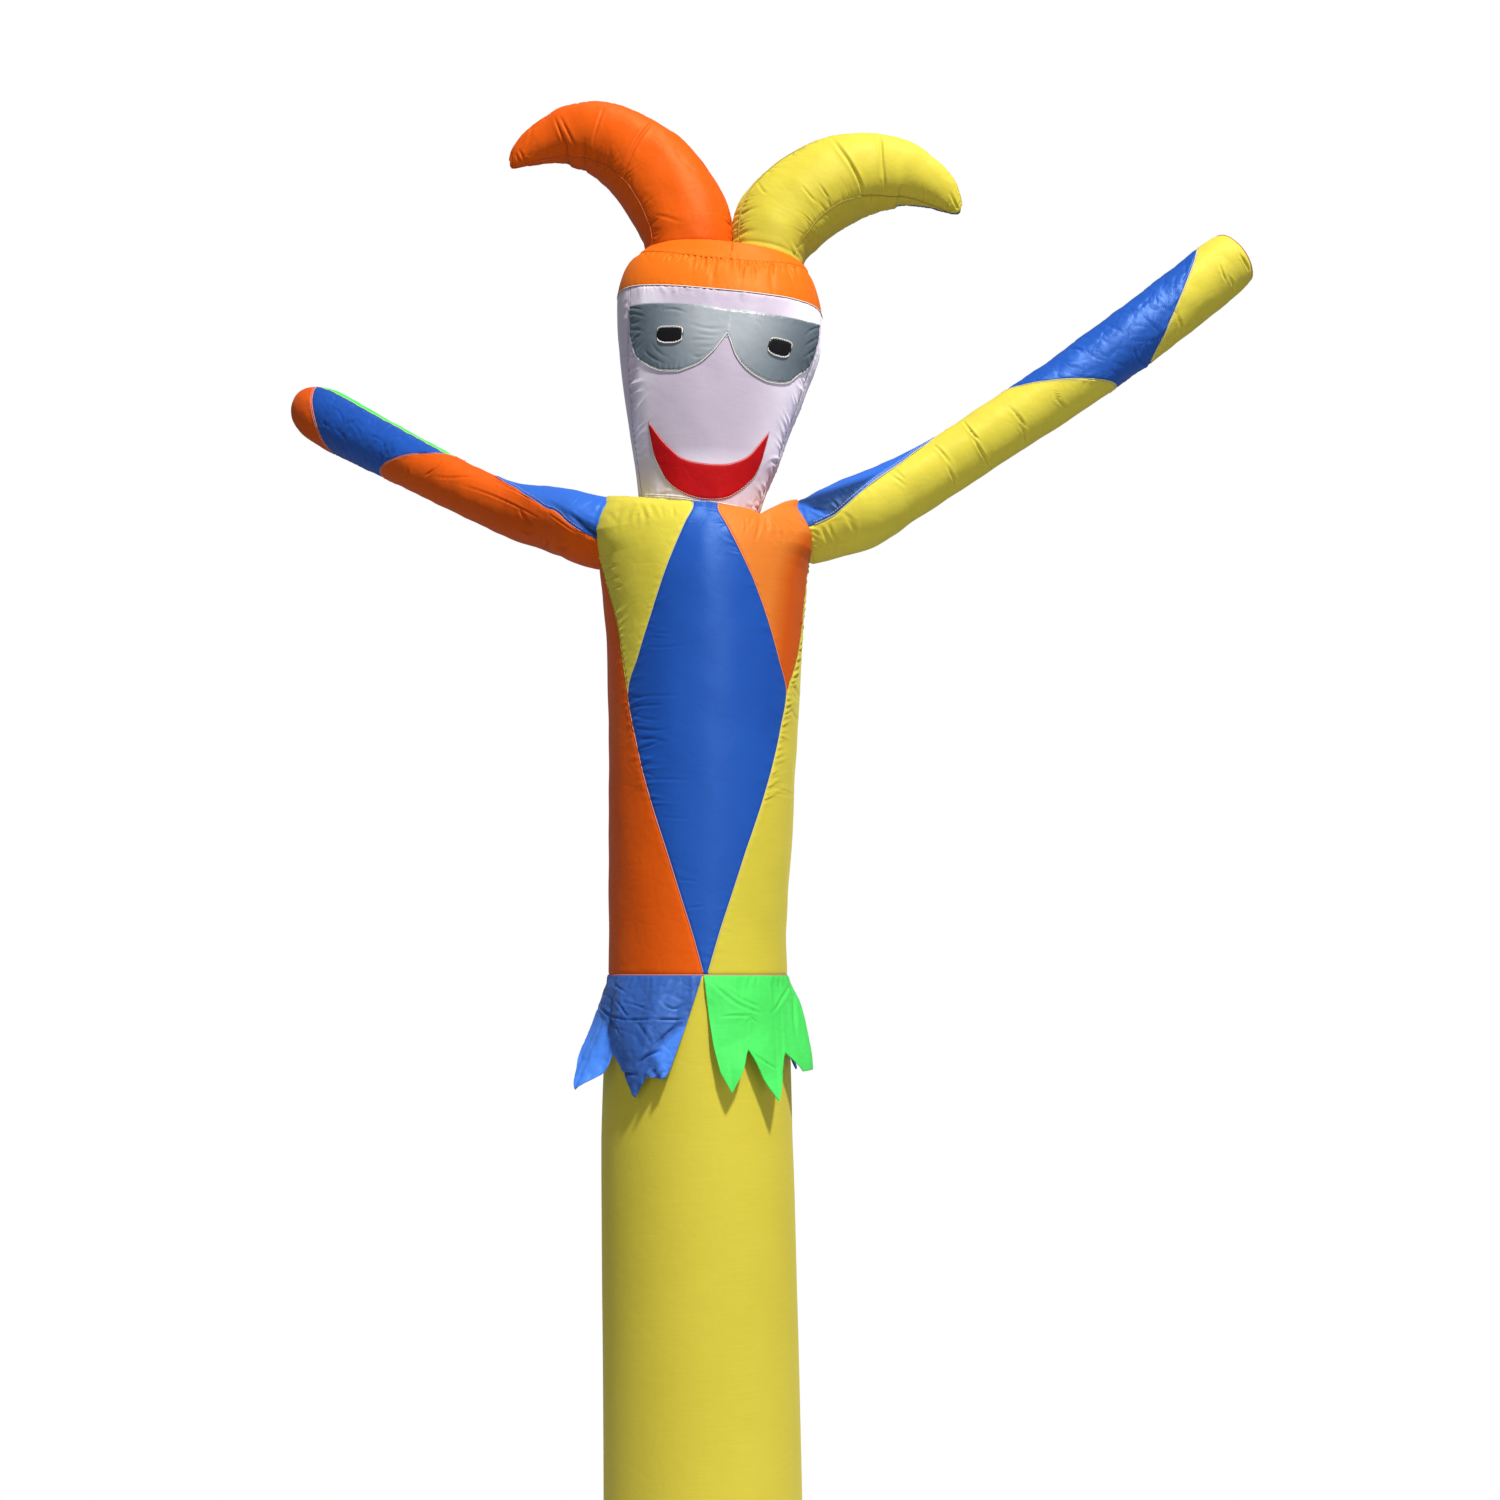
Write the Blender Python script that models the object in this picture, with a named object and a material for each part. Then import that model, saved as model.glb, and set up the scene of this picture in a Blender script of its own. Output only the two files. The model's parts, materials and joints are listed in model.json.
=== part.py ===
"""Inflatable air dancer: a jester figure sewn from thin coated cloth, standing as it
stands with air in it. Metres, +Z up, front towards -Y. The origin is on the floor,
at the middle of the figure's reach in X and Y. The tables count from the leg's foot."""
import math

import bpy
import numpy as np

# ---------------------------------------------------------------- driving sizes
WALL = 0.0015          # thickness of each cloth solid
GAP = 0.0003           # open line left at each seam
PATCH_WALL = 0.0010    # thickness of the pieces sewn on the face
PATCH_LIFT = 0.0009    # their height over the cloth below
LEG_R = 0.150          # leg tube
HEM_H = 0.045          # turned hem at the foot of the leg
HEM_T = 0.0015         # what the turned cloth adds to the wall
WAIST_Z = 1.550
FOOT_X = -0.048        # middle of the leg's foot, from the origin
FOOT_Y = -0.1285
HEAD_TILT = 5.6        # degrees that the head leans to +X

# ---------------------------------------------------------------- shape tables
# Body: height along the cloth, side height, centre x, half width, half depth,
# how far front and back hang below the sides, lean in degrees, roundness.
BODY_COLS = ("t", "z", "cx", "a", "b", "dip", "tilt", "n")
LEG_ROWS = [
    (0.000, 0.000, 0.0000, 0.1500, 0.1500, 0.0, 0.0, 2.0),
    (0.045, 0.045, 0.0000, 0.1500, 0.1500, 0.0, 0.0, 2.0),
    (0.400, 0.400, -0.0020, 0.1500, 0.1500, 0.0, 0.0, 2.0),
    (0.794, 0.794, -0.0062, 0.1496, 0.1496, 0.0, 0.0, 2.0),
    (1.055, 1.055, -0.0112, 0.1497, 0.1497, 0.0, 0.0, 2.0),
    (1.325, 1.325, -0.0173, 0.1490, 0.1490, 0.0, 0.0, 2.0),
    (1.450, 1.450, -0.0178, 0.1462, 0.1462, 0.0, 0.0, 2.0),
    (1.550, 1.550, -0.0180, 0.1416, 0.1416, 0.0, 0.0, 2.0),
]
TORSO_ROWS = [
    (1.550, 1.550, -0.0180, 0.1416, 0.1416, 0.000, 0.0, 2.0),
    (1.610, 1.610, -0.0185, 0.1412, 0.1412, 0.000, 0.0, 2.0),
    (1.669, 1.669, -0.0174, 0.1432, 0.1432, 0.000, 0.0, 2.0),
    (1.733, 1.733, -0.0155, 0.1460, 0.1460, 0.000, 0.0, 2.0),
    (1.830, 1.830, -0.0134, 0.1492, 0.1492, 0.000, 0.0, 2.0),
    (1.928, 1.928, -0.0114, 0.1530, 0.1530, 0.000, 0.0, 2.0),
    (2.005, 2.005, -0.0100, 0.1566, 0.1566, 0.000, 0.0, 2.0),
    (2.094, 2.094, -0.0095, 0.1610, 0.1600, 0.000, 0.0, 2.0),
    (2.162, 2.162, -0.0110, 0.1665, 0.1620, 0.002, 0.0, 2.0),
    (2.210, 2.210, -0.0122, 0.1705, 0.1600, 0.006, 0.5, 2.0),
    (2.260, 2.260, -0.0130, 0.1720, 0.1530, 0.014, 1.0, 2.0),
    (2.305, 2.304, -0.0140, 0.1690, 0.1390, 0.024, 1.0, 2.0),
    (2.345, 2.335, -0.0145, 0.1570, 0.1200, 0.044, 1.1, 2.0),
    (2.375, 2.330, -0.0145, 0.1330, 0.1020, 0.034, 3.4, 2.0),
    (2.405, 2.320, -0.0141, 0.1060, 0.0860, 0.020, 5.6, 2.0),
]
HEAD_ROWS = [
    (2.330, 2.3203, -0.0141, 0.1058, 0.0858, 0.020, 5.6, 2.0),
    (2.367, 2.3670, -0.0101, 0.1140, 0.0950, 0.022, 5.6, 2.1),
    (2.402, 2.4020, -0.0061, 0.1246, 0.1030, 0.015, 5.6, 2.2),
    (2.437, 2.4370, -0.0021, 0.1345, 0.1100, 0.010, 5.6, 2.2),
    (2.472, 2.4720, 0.0012, 0.1445, 0.1160, 0.007, 5.6, 2.2),
    (2.507, 2.5070, 0.0050, 0.1538, 0.1210, 0.006, 5.6, 2.2),
    (2.543, 2.5430, 0.0083, 0.1617, 0.1250, 0.006, 5.6, 2.2),
    (2.578, 2.5780, 0.0112, 0.1682, 0.1275, 0.008, 5.6, 2.2),
    (2.614, 2.6140, 0.0132, 0.1732, 0.1285, 0.011, 5.6, 2.2),
    (2.650, 2.6500, 0.0141, 0.1749, 0.1270, 0.017, 5.6, 2.2),
    (2.676, 2.6760, 0.0138, 0.1730, 0.1240, 0.023, 5.6, 2.2),
    (2.702, 2.7020, 0.0138, 0.1675, 0.1180, 0.028, 5.6, 2.2),
    (2.727, 2.7270, 0.0155, 0.1580, 0.1080, 0.031, 5.6, 2.2),
    (2.751, 2.7450, 0.0195, 0.1440, 0.0930, 0.027, 5.6, 2.2),
    (2.765, 2.7530, 0.0212, 0.1385, 0.0780, 0.004, 5.6, 2.2),
]
CROWN_RISE = 0.010     # the cap's top rises this much inside its last ring
# Arms: centre and radius along the sleeve.
ARM_COLS = ("x", "y", "z", "r")
LEFT_ARM = [
    (-0.1400, -0.0150, 2.2650, 0.0580),
    (-0.1975, 0.0000, 2.2790, 0.0590),
    (-0.2379, 0.0297, 2.3010, 0.0568),
    (-0.2812, 0.0608, 2.3206, 0.0532),
    (-0.3254, 0.0919, 2.3385, 0.0495),
    (-0.3688, 0.1216, 2.3610, 0.0460),
    (-0.4113, 0.1500, 2.3869, 0.0450),
    (-0.4969, 0.2054, 2.4427, 0.0464),
    (-0.5839, 0.2595, 2.5010, 0.0491),
    (-0.6766, 0.3149, 2.5628, 0.0528),
    (-0.7400, 0.3500, 2.6052, 0.0546),
    (-0.7680, 0.3665, 2.6240, 0.0522),
    (-0.7905, 0.3795, 2.6395, 0.0440),
    (-0.8040, 0.3875, 2.6485, 0.0300),
    (-0.8095, 0.3905, 2.6520, 0.0120),
]
RIGHT_ARM = [
    (0.1200, 0.0000, 2.2620, 0.0570),
    (0.1697, 0.0000, 2.2760, 0.0585),
    (0.2063, 0.0000, 2.2930, 0.0605),
    (0.2430, 0.0000, 2.3085, 0.0622),
    (0.2765, 0.0000, 2.3241, 0.0602),
    (0.3068, 0.0000, 2.3420, 0.0560),
    (0.3489, 0.0000, 2.3673, 0.0518),
    (0.3945, 0.0000, 2.3951, 0.0494),
    (0.4829, 0.0000, 2.4545, 0.0495),
    (0.5720, 0.0000, 2.5144, 0.0503),
    (0.6601, 0.0000, 2.5782, 0.0522),
    (0.7472, 0.0000, 2.6442, 0.0526),
    (0.8334, 0.0000, 2.7126, 0.0522),
    (0.8640, 0.0000, 2.7382, 0.0519),
    (0.8825, 0.0000, 2.7532, 0.0492),
    (0.8890, 0.0000, 2.7584, 0.0462),
]
# Horns: centre, half width across the crescent, half depth.
HORN_COLS = ("x", "y", "z", "a", "b")
LEFT_HORN = [
    (-0.0390, 0.0, 2.7500, 0.0735, 0.0600),
    (-0.0405, 0.0, 2.7780, 0.0745, 0.0640),
    (-0.0440, 0.0, 2.8080, 0.0765, 0.0670),
    (-0.0527, 0.0, 2.8364, 0.0795, 0.0670),
    (-0.0740, 0.0, 2.8759, 0.0785, 0.0660),
    (-0.1009, 0.0, 2.9144, 0.0762, 0.0640),
    (-0.1395, 0.0, 2.9496, 0.0692, 0.0600),
    (-0.1763, 0.0, 2.9730, 0.0643, 0.0550),
    (-0.2161, 0.0, 2.9850, 0.0576, 0.0490),
    (-0.2479, 0.0, 2.9854, 0.0504, 0.0420),
    (-0.2765, 0.0, 2.9783, 0.0411, 0.0330),
    (-0.3036, 0.0, 2.9662, 0.0299, 0.0240),
    (-0.3280, 0.0, 2.9500, 0.0165, 0.0140),
    (-0.3400, 0.0, 2.9370, 0.0090, 0.0080),
    (-0.3470, 0.0, 2.9280, 0.0040, 0.0038),
]
RIGHT_HORN = [
    (0.0920, 0.0, 2.7450, 0.0600, 0.0600),
    (0.0975, 0.0, 2.7690, 0.0620, 0.0640),
    (0.1045, 0.0, 2.7960, 0.0690, 0.0670),
    (0.1165, 0.0, 2.8240, 0.0765, 0.0680),
    (0.1428, 0.0, 2.8542, 0.0770, 0.0680),
    (0.1740, 0.0, 2.8789, 0.0761, 0.0670),
    (0.2101, 0.0, 2.8992, 0.0746, 0.0650),
    (0.2479, 0.0, 2.9117, 0.0699, 0.0610),
    (0.2879, 0.0, 2.9168, 0.0644, 0.0550),
    (0.3221, 0.0, 2.9151, 0.0576, 0.0480),
    (0.3582, 0.0, 2.9025, 0.0453, 0.0380),
    (0.3898, 0.0, 2.8832, 0.0319, 0.0260),
    (0.4060, 0.0, 2.8669, 0.0193, 0.0160),
    (0.4180, 0.0, 2.8520, 0.0095, 0.0085),
    (0.4240, 0.0, 2.8440, 0.0040, 0.0038),
]


# ---------------------------------------------------------------- surfaces
def curve(knots, rows, x):
    """Rows of values blended smoothly between knots (cubic, no added waves)."""
    k = np.asarray(knots, float)
    r = np.asarray(rows, float)
    i = int(np.clip(np.searchsorted(k, x) - 1, 0, len(k) - 2))
    h = k[i + 1] - k[i]
    s = (x - k[i]) / h
    slope = np.diff(r, axis=0) / np.diff(k)[:, None]

    def at(j):
        if j == 0 or j == len(k) - 1:
            return slope[0 if j == 0 else -1]
        d0, d1 = slope[j - 1], slope[j]
        flat = d0 * d1 <= 0
        mean = 2 * d0 * d1 / np.where(flat, 1.0, d0 + d1)
        return np.where(flat, 0.0, mean)

    m0, m1 = at(i) * h, at(i + 1) * h
    s2, s3 = s * s, s * s * s
    return ((2 * s3 - 3 * s2 + 1) * r[i] + (s3 - 2 * s2 + s) * m0
            + (-2 * s3 + 3 * s2) * r[i + 1] + (s3 - s2) * m1)


def oval(theta, n):
    """Point of a unit superellipse: (across, towards the front)."""
    s, c = math.sin(math.radians(theta)), math.cos(math.radians(theta))
    e = 2.0 / n
    return (math.copysign(abs(s) ** e, s), math.copysign(abs(c) ** e, c))


class Body:
    """Upright skin from rings; theta 0 is the front, +90 the +X side."""

    def __init__(self, rows, bend=((0.0, 2.0), (9.0, 2.0))):
        self.t = [r[0] for r in rows]
        self.rows = [r[1:] for r in rows]
        self.bend = bend

    def point(self, t, theta):
        z, cx, a, b, dip, tilt, n = curve(self.t, self.rows, t)
        s, k = oval(theta, n)
        ct, st = math.cos(math.radians(tilt)), math.sin(math.radians(tilt))
        power = np.interp(t, [q[0] for q in self.bend], [q[1] for q in self.bend])
        sag = dip * abs(math.cos(math.radians(theta))) ** power
        return np.array([cx + a * s * ct, -b * k, z - a * s * st - sag])


class Pipe:
    """Skin round a bent centre line; theta 0 is the front (-Y)."""

    def __init__(self, rows, round_n=2.0):
        p = np.array([r[:3] for r in rows], float)
        step = np.linalg.norm(np.diff(p, axis=0), axis=1)
        self.t = np.concatenate([[0.0], np.cumsum(step)])
        self.rows = [tuple(r) if len(r) == 5 else tuple(r) + (r[3],) for r in rows]
        self.length = float(self.t[-1])
        self.n = round_n

    def centre(self, t):
        return curve(self.t, self.rows, min(max(t, 0.0), self.length))

    def frame(self, t):
        e = 0.004
        p = self.centre(t + e)[:3] - self.centre(t - e)[:3]
        along = p / np.linalg.norm(p)
        front = np.array([0.0, -1.0, 0.0])
        front = front - front.dot(along) * along
        front /= np.linalg.norm(front)
        return along, front, np.cross(along, front)

    def point(self, t, theta):
        x, y, z, a, b = self.centre(t)
        along, front, side = self.frame(t)
        s, k = oval(theta, self.n)
        return np.array([x, y, z]) + side * (a * s) + front * (b * k)


def normal(skin, t, theta):
    """Outward unit normal of a skin."""
    dt, da = 0.0015, 1.2
    u = skin.point(t, theta + da) - skin.point(t, theta - da)
    v = skin.point(t + dt, theta) - skin.point(t - dt, theta)
    n = np.cross(u, v)
    return n / max(np.linalg.norm(n), 1e-12)


LEG = Body(LEG_ROWS)
TORSO = Body(TORSO_ROWS, ((2.20, 2.0), (2.33, 1.2)))
HEAD = Body(HEAD_ROWS, ((2.33, 1.2), (2.42, 2.0)))
ARM_L = Pipe(LEFT_ARM)
ARM_R = Pipe(RIGHT_ARM)
HORN_L = Pipe(LEFT_HORN, 2.2)
HORN_R = Pipe(RIGHT_HORN, 2.2)
# ---- end of surfaces


class Crown:
    """Top of the cap: the head's last rings, then a low lid out to its middle."""
    FOLD = 2.765
    MID_X = 0.0350

    def point(self, t, theta):
        if t <= self.FOLD:
            return HEAD.point(t, theta)
        k = 1.0 - (t - self.FOLD) / 0.13
        z, cx, a, b, dip, tilt, n = HEAD_ROWS[-1][1:]
        s, f = oval(theta, n)
        st = math.sin(math.radians(tilt))
        x = self.MID_X + (cx + a * s * math.cos(math.radians(tilt)) - self.MID_X) * k
        rise = CROWN_RISE * (1.0 - k * k)
        return np.array([x, -b * f * k, z - (x - cx) * st + rise])


CROWN = Crown()

# ---------------------------------------------------------------- colours
# name: red, green, blue, roughness
CLOTHS = {
    "yellow": (0.62, 0.52, 0.045, 0.45),
    "orange": (0.80, 0.165, 0.012, 0.45),
    "blue": (0.035, 0.115, 0.52, 0.42),
    "green": (0.040, 0.80, 0.11, 0.45),
    "white": (0.78, 0.70, 0.80, 0.45),
    "satin": (0.22, 0.27, 0.31, 0.28),
    "black": (0.012, 0.012, 0.014, 0.50),
    "red": (0.62, 0.012, 0.018, 0.45),
}


def cloth(name):
    """Principled material of one cloth, made once."""
    m = bpy.data.materials.get(name)
    if m:
        return m
    r, g, b, rough = CLOTHS[name]
    m = bpy.data.materials.new(name)
    m.use_nodes = True
    bsdf = m.node_tree.nodes["Principled BSDF"]
    bsdf.inputs["Base Color"].default_value = (r, g, b, 1.0)
    bsdf.inputs["Roughness"].default_value = rough
    bsdf.inputs["Metallic"].default_value = 0.0
    m.diffuse_color = (r, g, b, 1.0)
    return m


# ---------------------------------------------------------------- mesh makers
def signed_volume(v, faces):
    total = 0.0
    for f in faces:
        for i in range(1, len(f) - 1):
            total += float(np.dot(v[f[0]], np.cross(v[f[i]], v[f[i + 1]])))
    return total / 6.0


def add_object(name, verts, faces, colour):
    foot = np.array([FOOT_X, FOOT_Y, 0.0])
    v = [np.asarray(p, float) + foot for p in verts]
    if signed_volume(v, faces) < 0.0:
        faces = [tuple(reversed(f)) for f in faces]
    me = bpy.data.meshes.new(name)
    me.from_pydata([tuple(p) for p in v], [], faces)
    me.validate()
    me.update()
    ob = bpy.data.objects.new(name, me)
    bpy.context.scene.collection.objects.link(ob)
    if colour:
        me.materials.append(cloth(colour))
    return ob


def shell(name, outer, inner, colour, ring=False, pole=None):
    """Closed solid between two point grids. ring joins the last column to the
    first; pole is (outer point, inner point) that closes the last row."""
    rows, cols = len(outer), len(outer[0])
    verts = [p for row in outer for p in row] + [p for row in inner for p in row]
    half = rows * cols
    span = cols if ring else cols - 1

    def at(side, i, j):
        return side * half + i * cols + j % cols

    faces = []
    for i in range(rows - 1):
        for j in range(span):
            faces.append((at(0, i, j), at(0, i, j + 1), at(0, i + 1, j + 1), at(0, i + 1, j)))
            faces.append((at(1, i, j), at(1, i + 1, j), at(1, i + 1, j + 1), at(1, i, j + 1)))
    for j in range(span):
        faces.append((at(0, 0, j), at(1, 0, j), at(1, 0, j + 1), at(0, 0, j + 1)))
    last = rows - 1
    if pole is None:
        for j in range(span):
            faces.append((at(0, last, j), at(0, last, j + 1), at(1, last, j + 1), at(1, last, j)))
    else:
        po, pi = len(verts), len(verts) + 1
        verts += [pole[0], pole[1]]
        for j in range(span):
            faces.append((at(0, last, j), at(0, last, j + 1), po))
            faces.append((at(1, last, j + 1), at(1, last, j), pi))
    if not ring:
        for i in range(rows - 1):
            faces.append((at(0, i, 0), at(0, i + 1, 0), at(1, i + 1, 0), at(1, i, 0)))
            end = cols - 1
            faces.append((at(0, i, end), at(1, i, end), at(1, i + 1, end), at(0, i + 1, end)))
    return add_object(name, verts, faces, colour)


def land(skin, start, direction, guess, gap):
    """Where a line from start meets a skin, backed off by gap along the line."""
    t, th, lam = guess[0], guess[1], 0.0
    for _ in range(40):
        p = skin.point(t, th)
        miss = start + direction * lam - p
        if np.linalg.norm(miss) < 1e-7:
            break
        dt, da = 1e-4, 0.05
        jac = np.column_stack([
            (skin.point(t + dt, th) - p) / dt,
            (skin.point(t, th + da) - p) / da,
            -direction,
        ])
        step = np.linalg.lstsq(jac, miss, rcond=None)[0]
        t += float(np.clip(step[0], -0.02, 0.02))
        th += float(np.clip(step[1], -12.0, 12.0))
        lam += float(np.clip(step[2], -0.05, 0.05))
    n = normal(skin, t, th)
    slope = max(abs(float(n.dot(direction))), 0.35)
    return start + direction * lam - direction * (gap / slope)


def panel(name, skin, spread, colour, ring=False, inset=(1, 1, 1, 1), lift=0.0,
          wall=WALL, onto=None, pole=False):
    """Cloth panel on a skin. spread is a grid of (t, theta); inset says which of
    the first row, last row, first column and last column stop short of a seam;
    lift is one height or one for each row; onto = (skin, guess, sign of along)."""
    grid = [[list(c) for c in row] for row in spread]
    rows, cols = len(grid), len(grid[0])
    cut = 0.67 * GAP
    for i in range(rows):
        for j in range(cols):
            t, th = spread[i][j]
            e, a = 0.002, 1.0
            per_t = np.linalg.norm(skin.point(t + e, th) - skin.point(t - e, th)) / (2 * e)
            per_a = np.linalg.norm(skin.point(t, th + a) - skin.point(t, th - a)) / (2 * a)
            if i == 0 and inset[0]:
                grid[i][j][0] += cut / per_t
            if i == rows - 1 and inset[1]:
                grid[i][j][0] -= cut / per_t
            if j == 0 and inset[2] and not ring:
                grid[i][j][1] += cut / per_a
            if j == cols - 1 and inset[3] and not ring:
                grid[i][j][1] -= cut / per_a
    outer, inner = [], []
    for i in range(rows):
        up = lift[i] if isinstance(lift, (list, tuple)) else lift
        base = 0.0 if isinstance(lift, (list, tuple)) else lift
        row_o, row_i = [], []
        for j in range(cols):
            t, th = grid[i][j]
            p, n = skin.point(t, th), normal(skin, t, th)
            row_o.append(p + n * up)
            row_i.append(p + n * (base - wall))
        if i == 0 and onto:
            target, guess = onto
            along = skin.frame(grid[0][0][0])[0]
            row_o = [land(target, q, -along, guess(q), 2 * GAP) for q in row_o]
            row_i = [land(target, q, -along, guess(q), 2 * GAP) for q in row_i]
        outer.append(row_o)
        inner.append(row_i)
    ends = None
    if pole:
        mid_o = sum(outer[-1]) / cols
        mid_i = sum(inner[-1]) / cols
        along = skin.frame(skin.length)[0]
        ends = (mid_o + along * 0.0012, mid_i + along * 0.0002)
    return shell(name, outer, inner, colour, ring, ends)


def between(lo, hi, count):
    return [lo + (hi - lo) * k / (count - 1) for k in range(count)]


def edge(table, t):
    """Value of a two-column (t, value) table, straight between its rows."""
    return float(np.interp(t, [r[0] for r in table], [r[1] for r in table]))


def strip(ts, left, right, cols):
    """Grid of (t, theta) between two edge tables."""
    return [[(t, th) for th in between(edge(left, t), edge(right, t), cols)] for t in ts]


# ---------------------------------------------------------------- clear the scene
for old in list(bpy.data.objects):
    bpy.data.objects.remove(old, do_unlink=True)

# ---------------------------------------------------------------- leg
LEG_LIST = (0.0, HEM_H, HEM_H + 0.002, 0.40, 0.794, 1.055, 1.325, 1.45, WAIST_Z)
LEG_LIFT = [HEM_T, HEM_T, 0.0, 0.0, 0.0, 0.0, 0.0, 0.0, 0.0]
LEG_COLS = 40
leg_grid = [[(t, 360.0 * k / LEG_COLS) for k in range(LEG_COLS)] for t in LEG_LIST]
panel("leg_tube", LEG, leg_grid, "yellow", ring=True, inset=(0, 1, 0, 0), lift=LEG_LIFT)

# ---------------------------------------------------------------- torso
# Seams in degrees round the body: front diamond left and right, side panel left
# and right. The back repeats them mirrored.
SEAM_COLS = ("t", "diamond_left", "diamond_right", "side_left", "side_right")
TORSO_SEAMS = [
    (1.550, 5.6, 7.8, 5.6, 7.8),
    (1.610, -1.1, 15.1, -1.1, 15.1),
    (1.669, -9.2, 22.5, -9.2, 22.5),
    (1.733, -18.1, 30.2, -18.1, 30.2),
    (1.830, -31.8, 43.4, -31.8, 43.4),
    (1.928, -43.2, 54.3, -43.2, 54.3),
    (1.987, -48.0, 58.2, -48.4, 58.6),
    (2.040, -39.5, 49.5, -52.8, 69.0),
    (2.094, -31.2, 40.3, -57.0, 78.0),
    (2.162, -21.0, 29.1, -66.3, 83.5),
    (2.210, -14.2, 21.1, -74.0, 85.5),
    (2.260, -8.1, 14.4, -86.5, 87.2),
    (2.305, -3.5, 9.8, -90.0, 90.0),
    (2.345, -4.2, 10.9, -90.0, 90.0),
    (2.375, -5.1, 12.8, -90.0, 90.0),
    (2.405, -6.4, 15.3, -90.0, 90.0),
]
VERTEX_T = 1.987
TIP_T = 2.260


def seam(col, back=False):
    k = SEAM_COLS.index(col)
    table = [(r[0], r[k]) for r in TORSO_SEAMS]
    if back and "left" in col:
        return [(t, -180.0 - v) for t, v in table]
    if back:
        return [(t, 180.0 - v) for t, v in table]
    return table


def shift(table, by):
    return [(t, v + by) for t, v in table]


all_t = [r[0] for r in TORSO_SEAMS]
kite_t = [t for t in all_t if t >= VERTEX_T]
side_t = [t for t in all_t if t <= TIP_T]
panel("torso_front_diamond", TORSO,
      strip(all_t, seam("diamond_left"), seam("diamond_right"), 8), "blue")
panel("torso_front_left", TORSO,
      strip(kite_t, seam("side_left"), seam("diamond_left"), 7), "yellow")
panel("torso_front_right", TORSO,
      strip(kite_t, seam("diamond_right"), seam("side_right"), 7), "orange")
panel("torso_side_left", TORSO,
      strip(side_t, seam("side_left", True), seam("side_left"), 12), "orange")
panel("torso_side_right", TORSO,
      strip(side_t, seam("side_right"), seam("side_right", True), 12), "yellow")
panel("torso_back_diamond", TORSO,
      strip(all_t, seam("diamond_right", True), shift(seam("diamond_left", True), 360.0), 8),
      "blue")
panel("torso_back_left", TORSO,
      strip(kite_t, seam("diamond_left", True), seam("side_left", True), 7), "yellow")
panel("torso_back_right", TORSO,
      strip(kite_t, seam("side_right", True), seam("diamond_right", True), 7), "orange")

# ---------------------------------------------------------------- head
# Seams round the head: face left and right.
FACE_LEFT = [(2.330, -58.0), (2.367, -60.0), (2.437, -60.8), (2.507, -60.3),
             (2.578, -59.5), (2.614, -58.0), (2.666, -57.0)]
FACE_RIGHT = [(2.330, 57.0), (2.367, 67.0), (2.402, 69.5), (2.507, 68.2),
              (2.543, 69.0), (2.578, 73.0), (2.614, 75.2), (2.666, 77.0)]
CAP_T, PUCKER_T = 2.666, 2.745
head_t = (2.330, 2.367, 2.402, 2.455, 2.507, 2.560, 2.614, 2.642, 2.666)


def mirrored(table, full):
    return [(t, full - v) for t, v in table]


panel("head_face", HEAD, strip(head_t, FACE_LEFT, FACE_RIGHT, 14), "white")
panel("head_side_left", HEAD,
      strip(head_t, mirrored(FACE_LEFT, -180.0), FACE_LEFT, 6), "white")
panel("head_side_right", HEAD,
      strip(head_t, FACE_RIGHT, mirrored(FACE_RIGHT, 180.0), 5), "white")
panel("head_back", HEAD,
      strip(head_t, mirrored(FACE_RIGHT, 180.0), mirrored(FACE_LEFT, 180.0), 12), "white")

# ---------------------------------------------------------------- cap
cap_t = (CAP_T, 2.686, 2.706, 2.727, PUCKER_T)
SPLIT = 4.6            # the top's centre seam, degrees from the front
QUARTER = between(0.0, 90.0, 8)
FRONT_A = [-a for a in reversed(QUARTER)] + [SPLIT] + QUARTER[1:]
BACK_A = [180.0 - a for a in reversed(QUARTER)][:-1] + [180.0 - SPLIT]
BACK_A += [180.0 + a for a in QUARTER]
panel("cap_band_front", HEAD, [[(t, th) for th in FRONT_A] for t in cap_t], "orange")
panel("cap_band_back", HEAD, [[(t, th) for th in BACK_A] for t in cap_t], "orange")
crown_t = (PUCKER_T, 2.756, 2.765, 2.785, 2.815, 2.850, 2.880, 2.8935)
TOP_L = [-180.0 - SPLIT] + [-180.0 + a for a in QUARTER]
TOP_L += [-a for a in reversed(QUARTER)][1:] + [SPLIT]
TOP_R = [SPLIT] + QUARTER[1:] + [180.0 - a for a in reversed(QUARTER)][1:-1] + [180.0 - SPLIT]
panel("cap_top_left", CROWN, [[(t, th) for th in TOP_L] for t in crown_t], "orange")
panel("cap_top_right", CROWN, [[(t, th) for th in TOP_R] for t in crown_t], "orange")

# ---------------------------------------------------------------- horns
# Seams along each horn: inner gusset and outer gusset, degrees from the front.
HORN_INNER = [(0.0, 52.0), (0.07, 51.0), (0.13, 48.0), (0.18, 48.0), (0.24, 54.0),
              (0.31, 66.0), (0.40, 78.0), (0.48, 84.0)]
HORN_OUTER_L = [(0.0, 74.0), (0.48, 82.0)]
HORN_OUTER_R = [(0.0, 50.0), (0.06, 54.0), (0.15, 60.0), (0.25, 74.0), (0.48, 82.0)]


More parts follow.
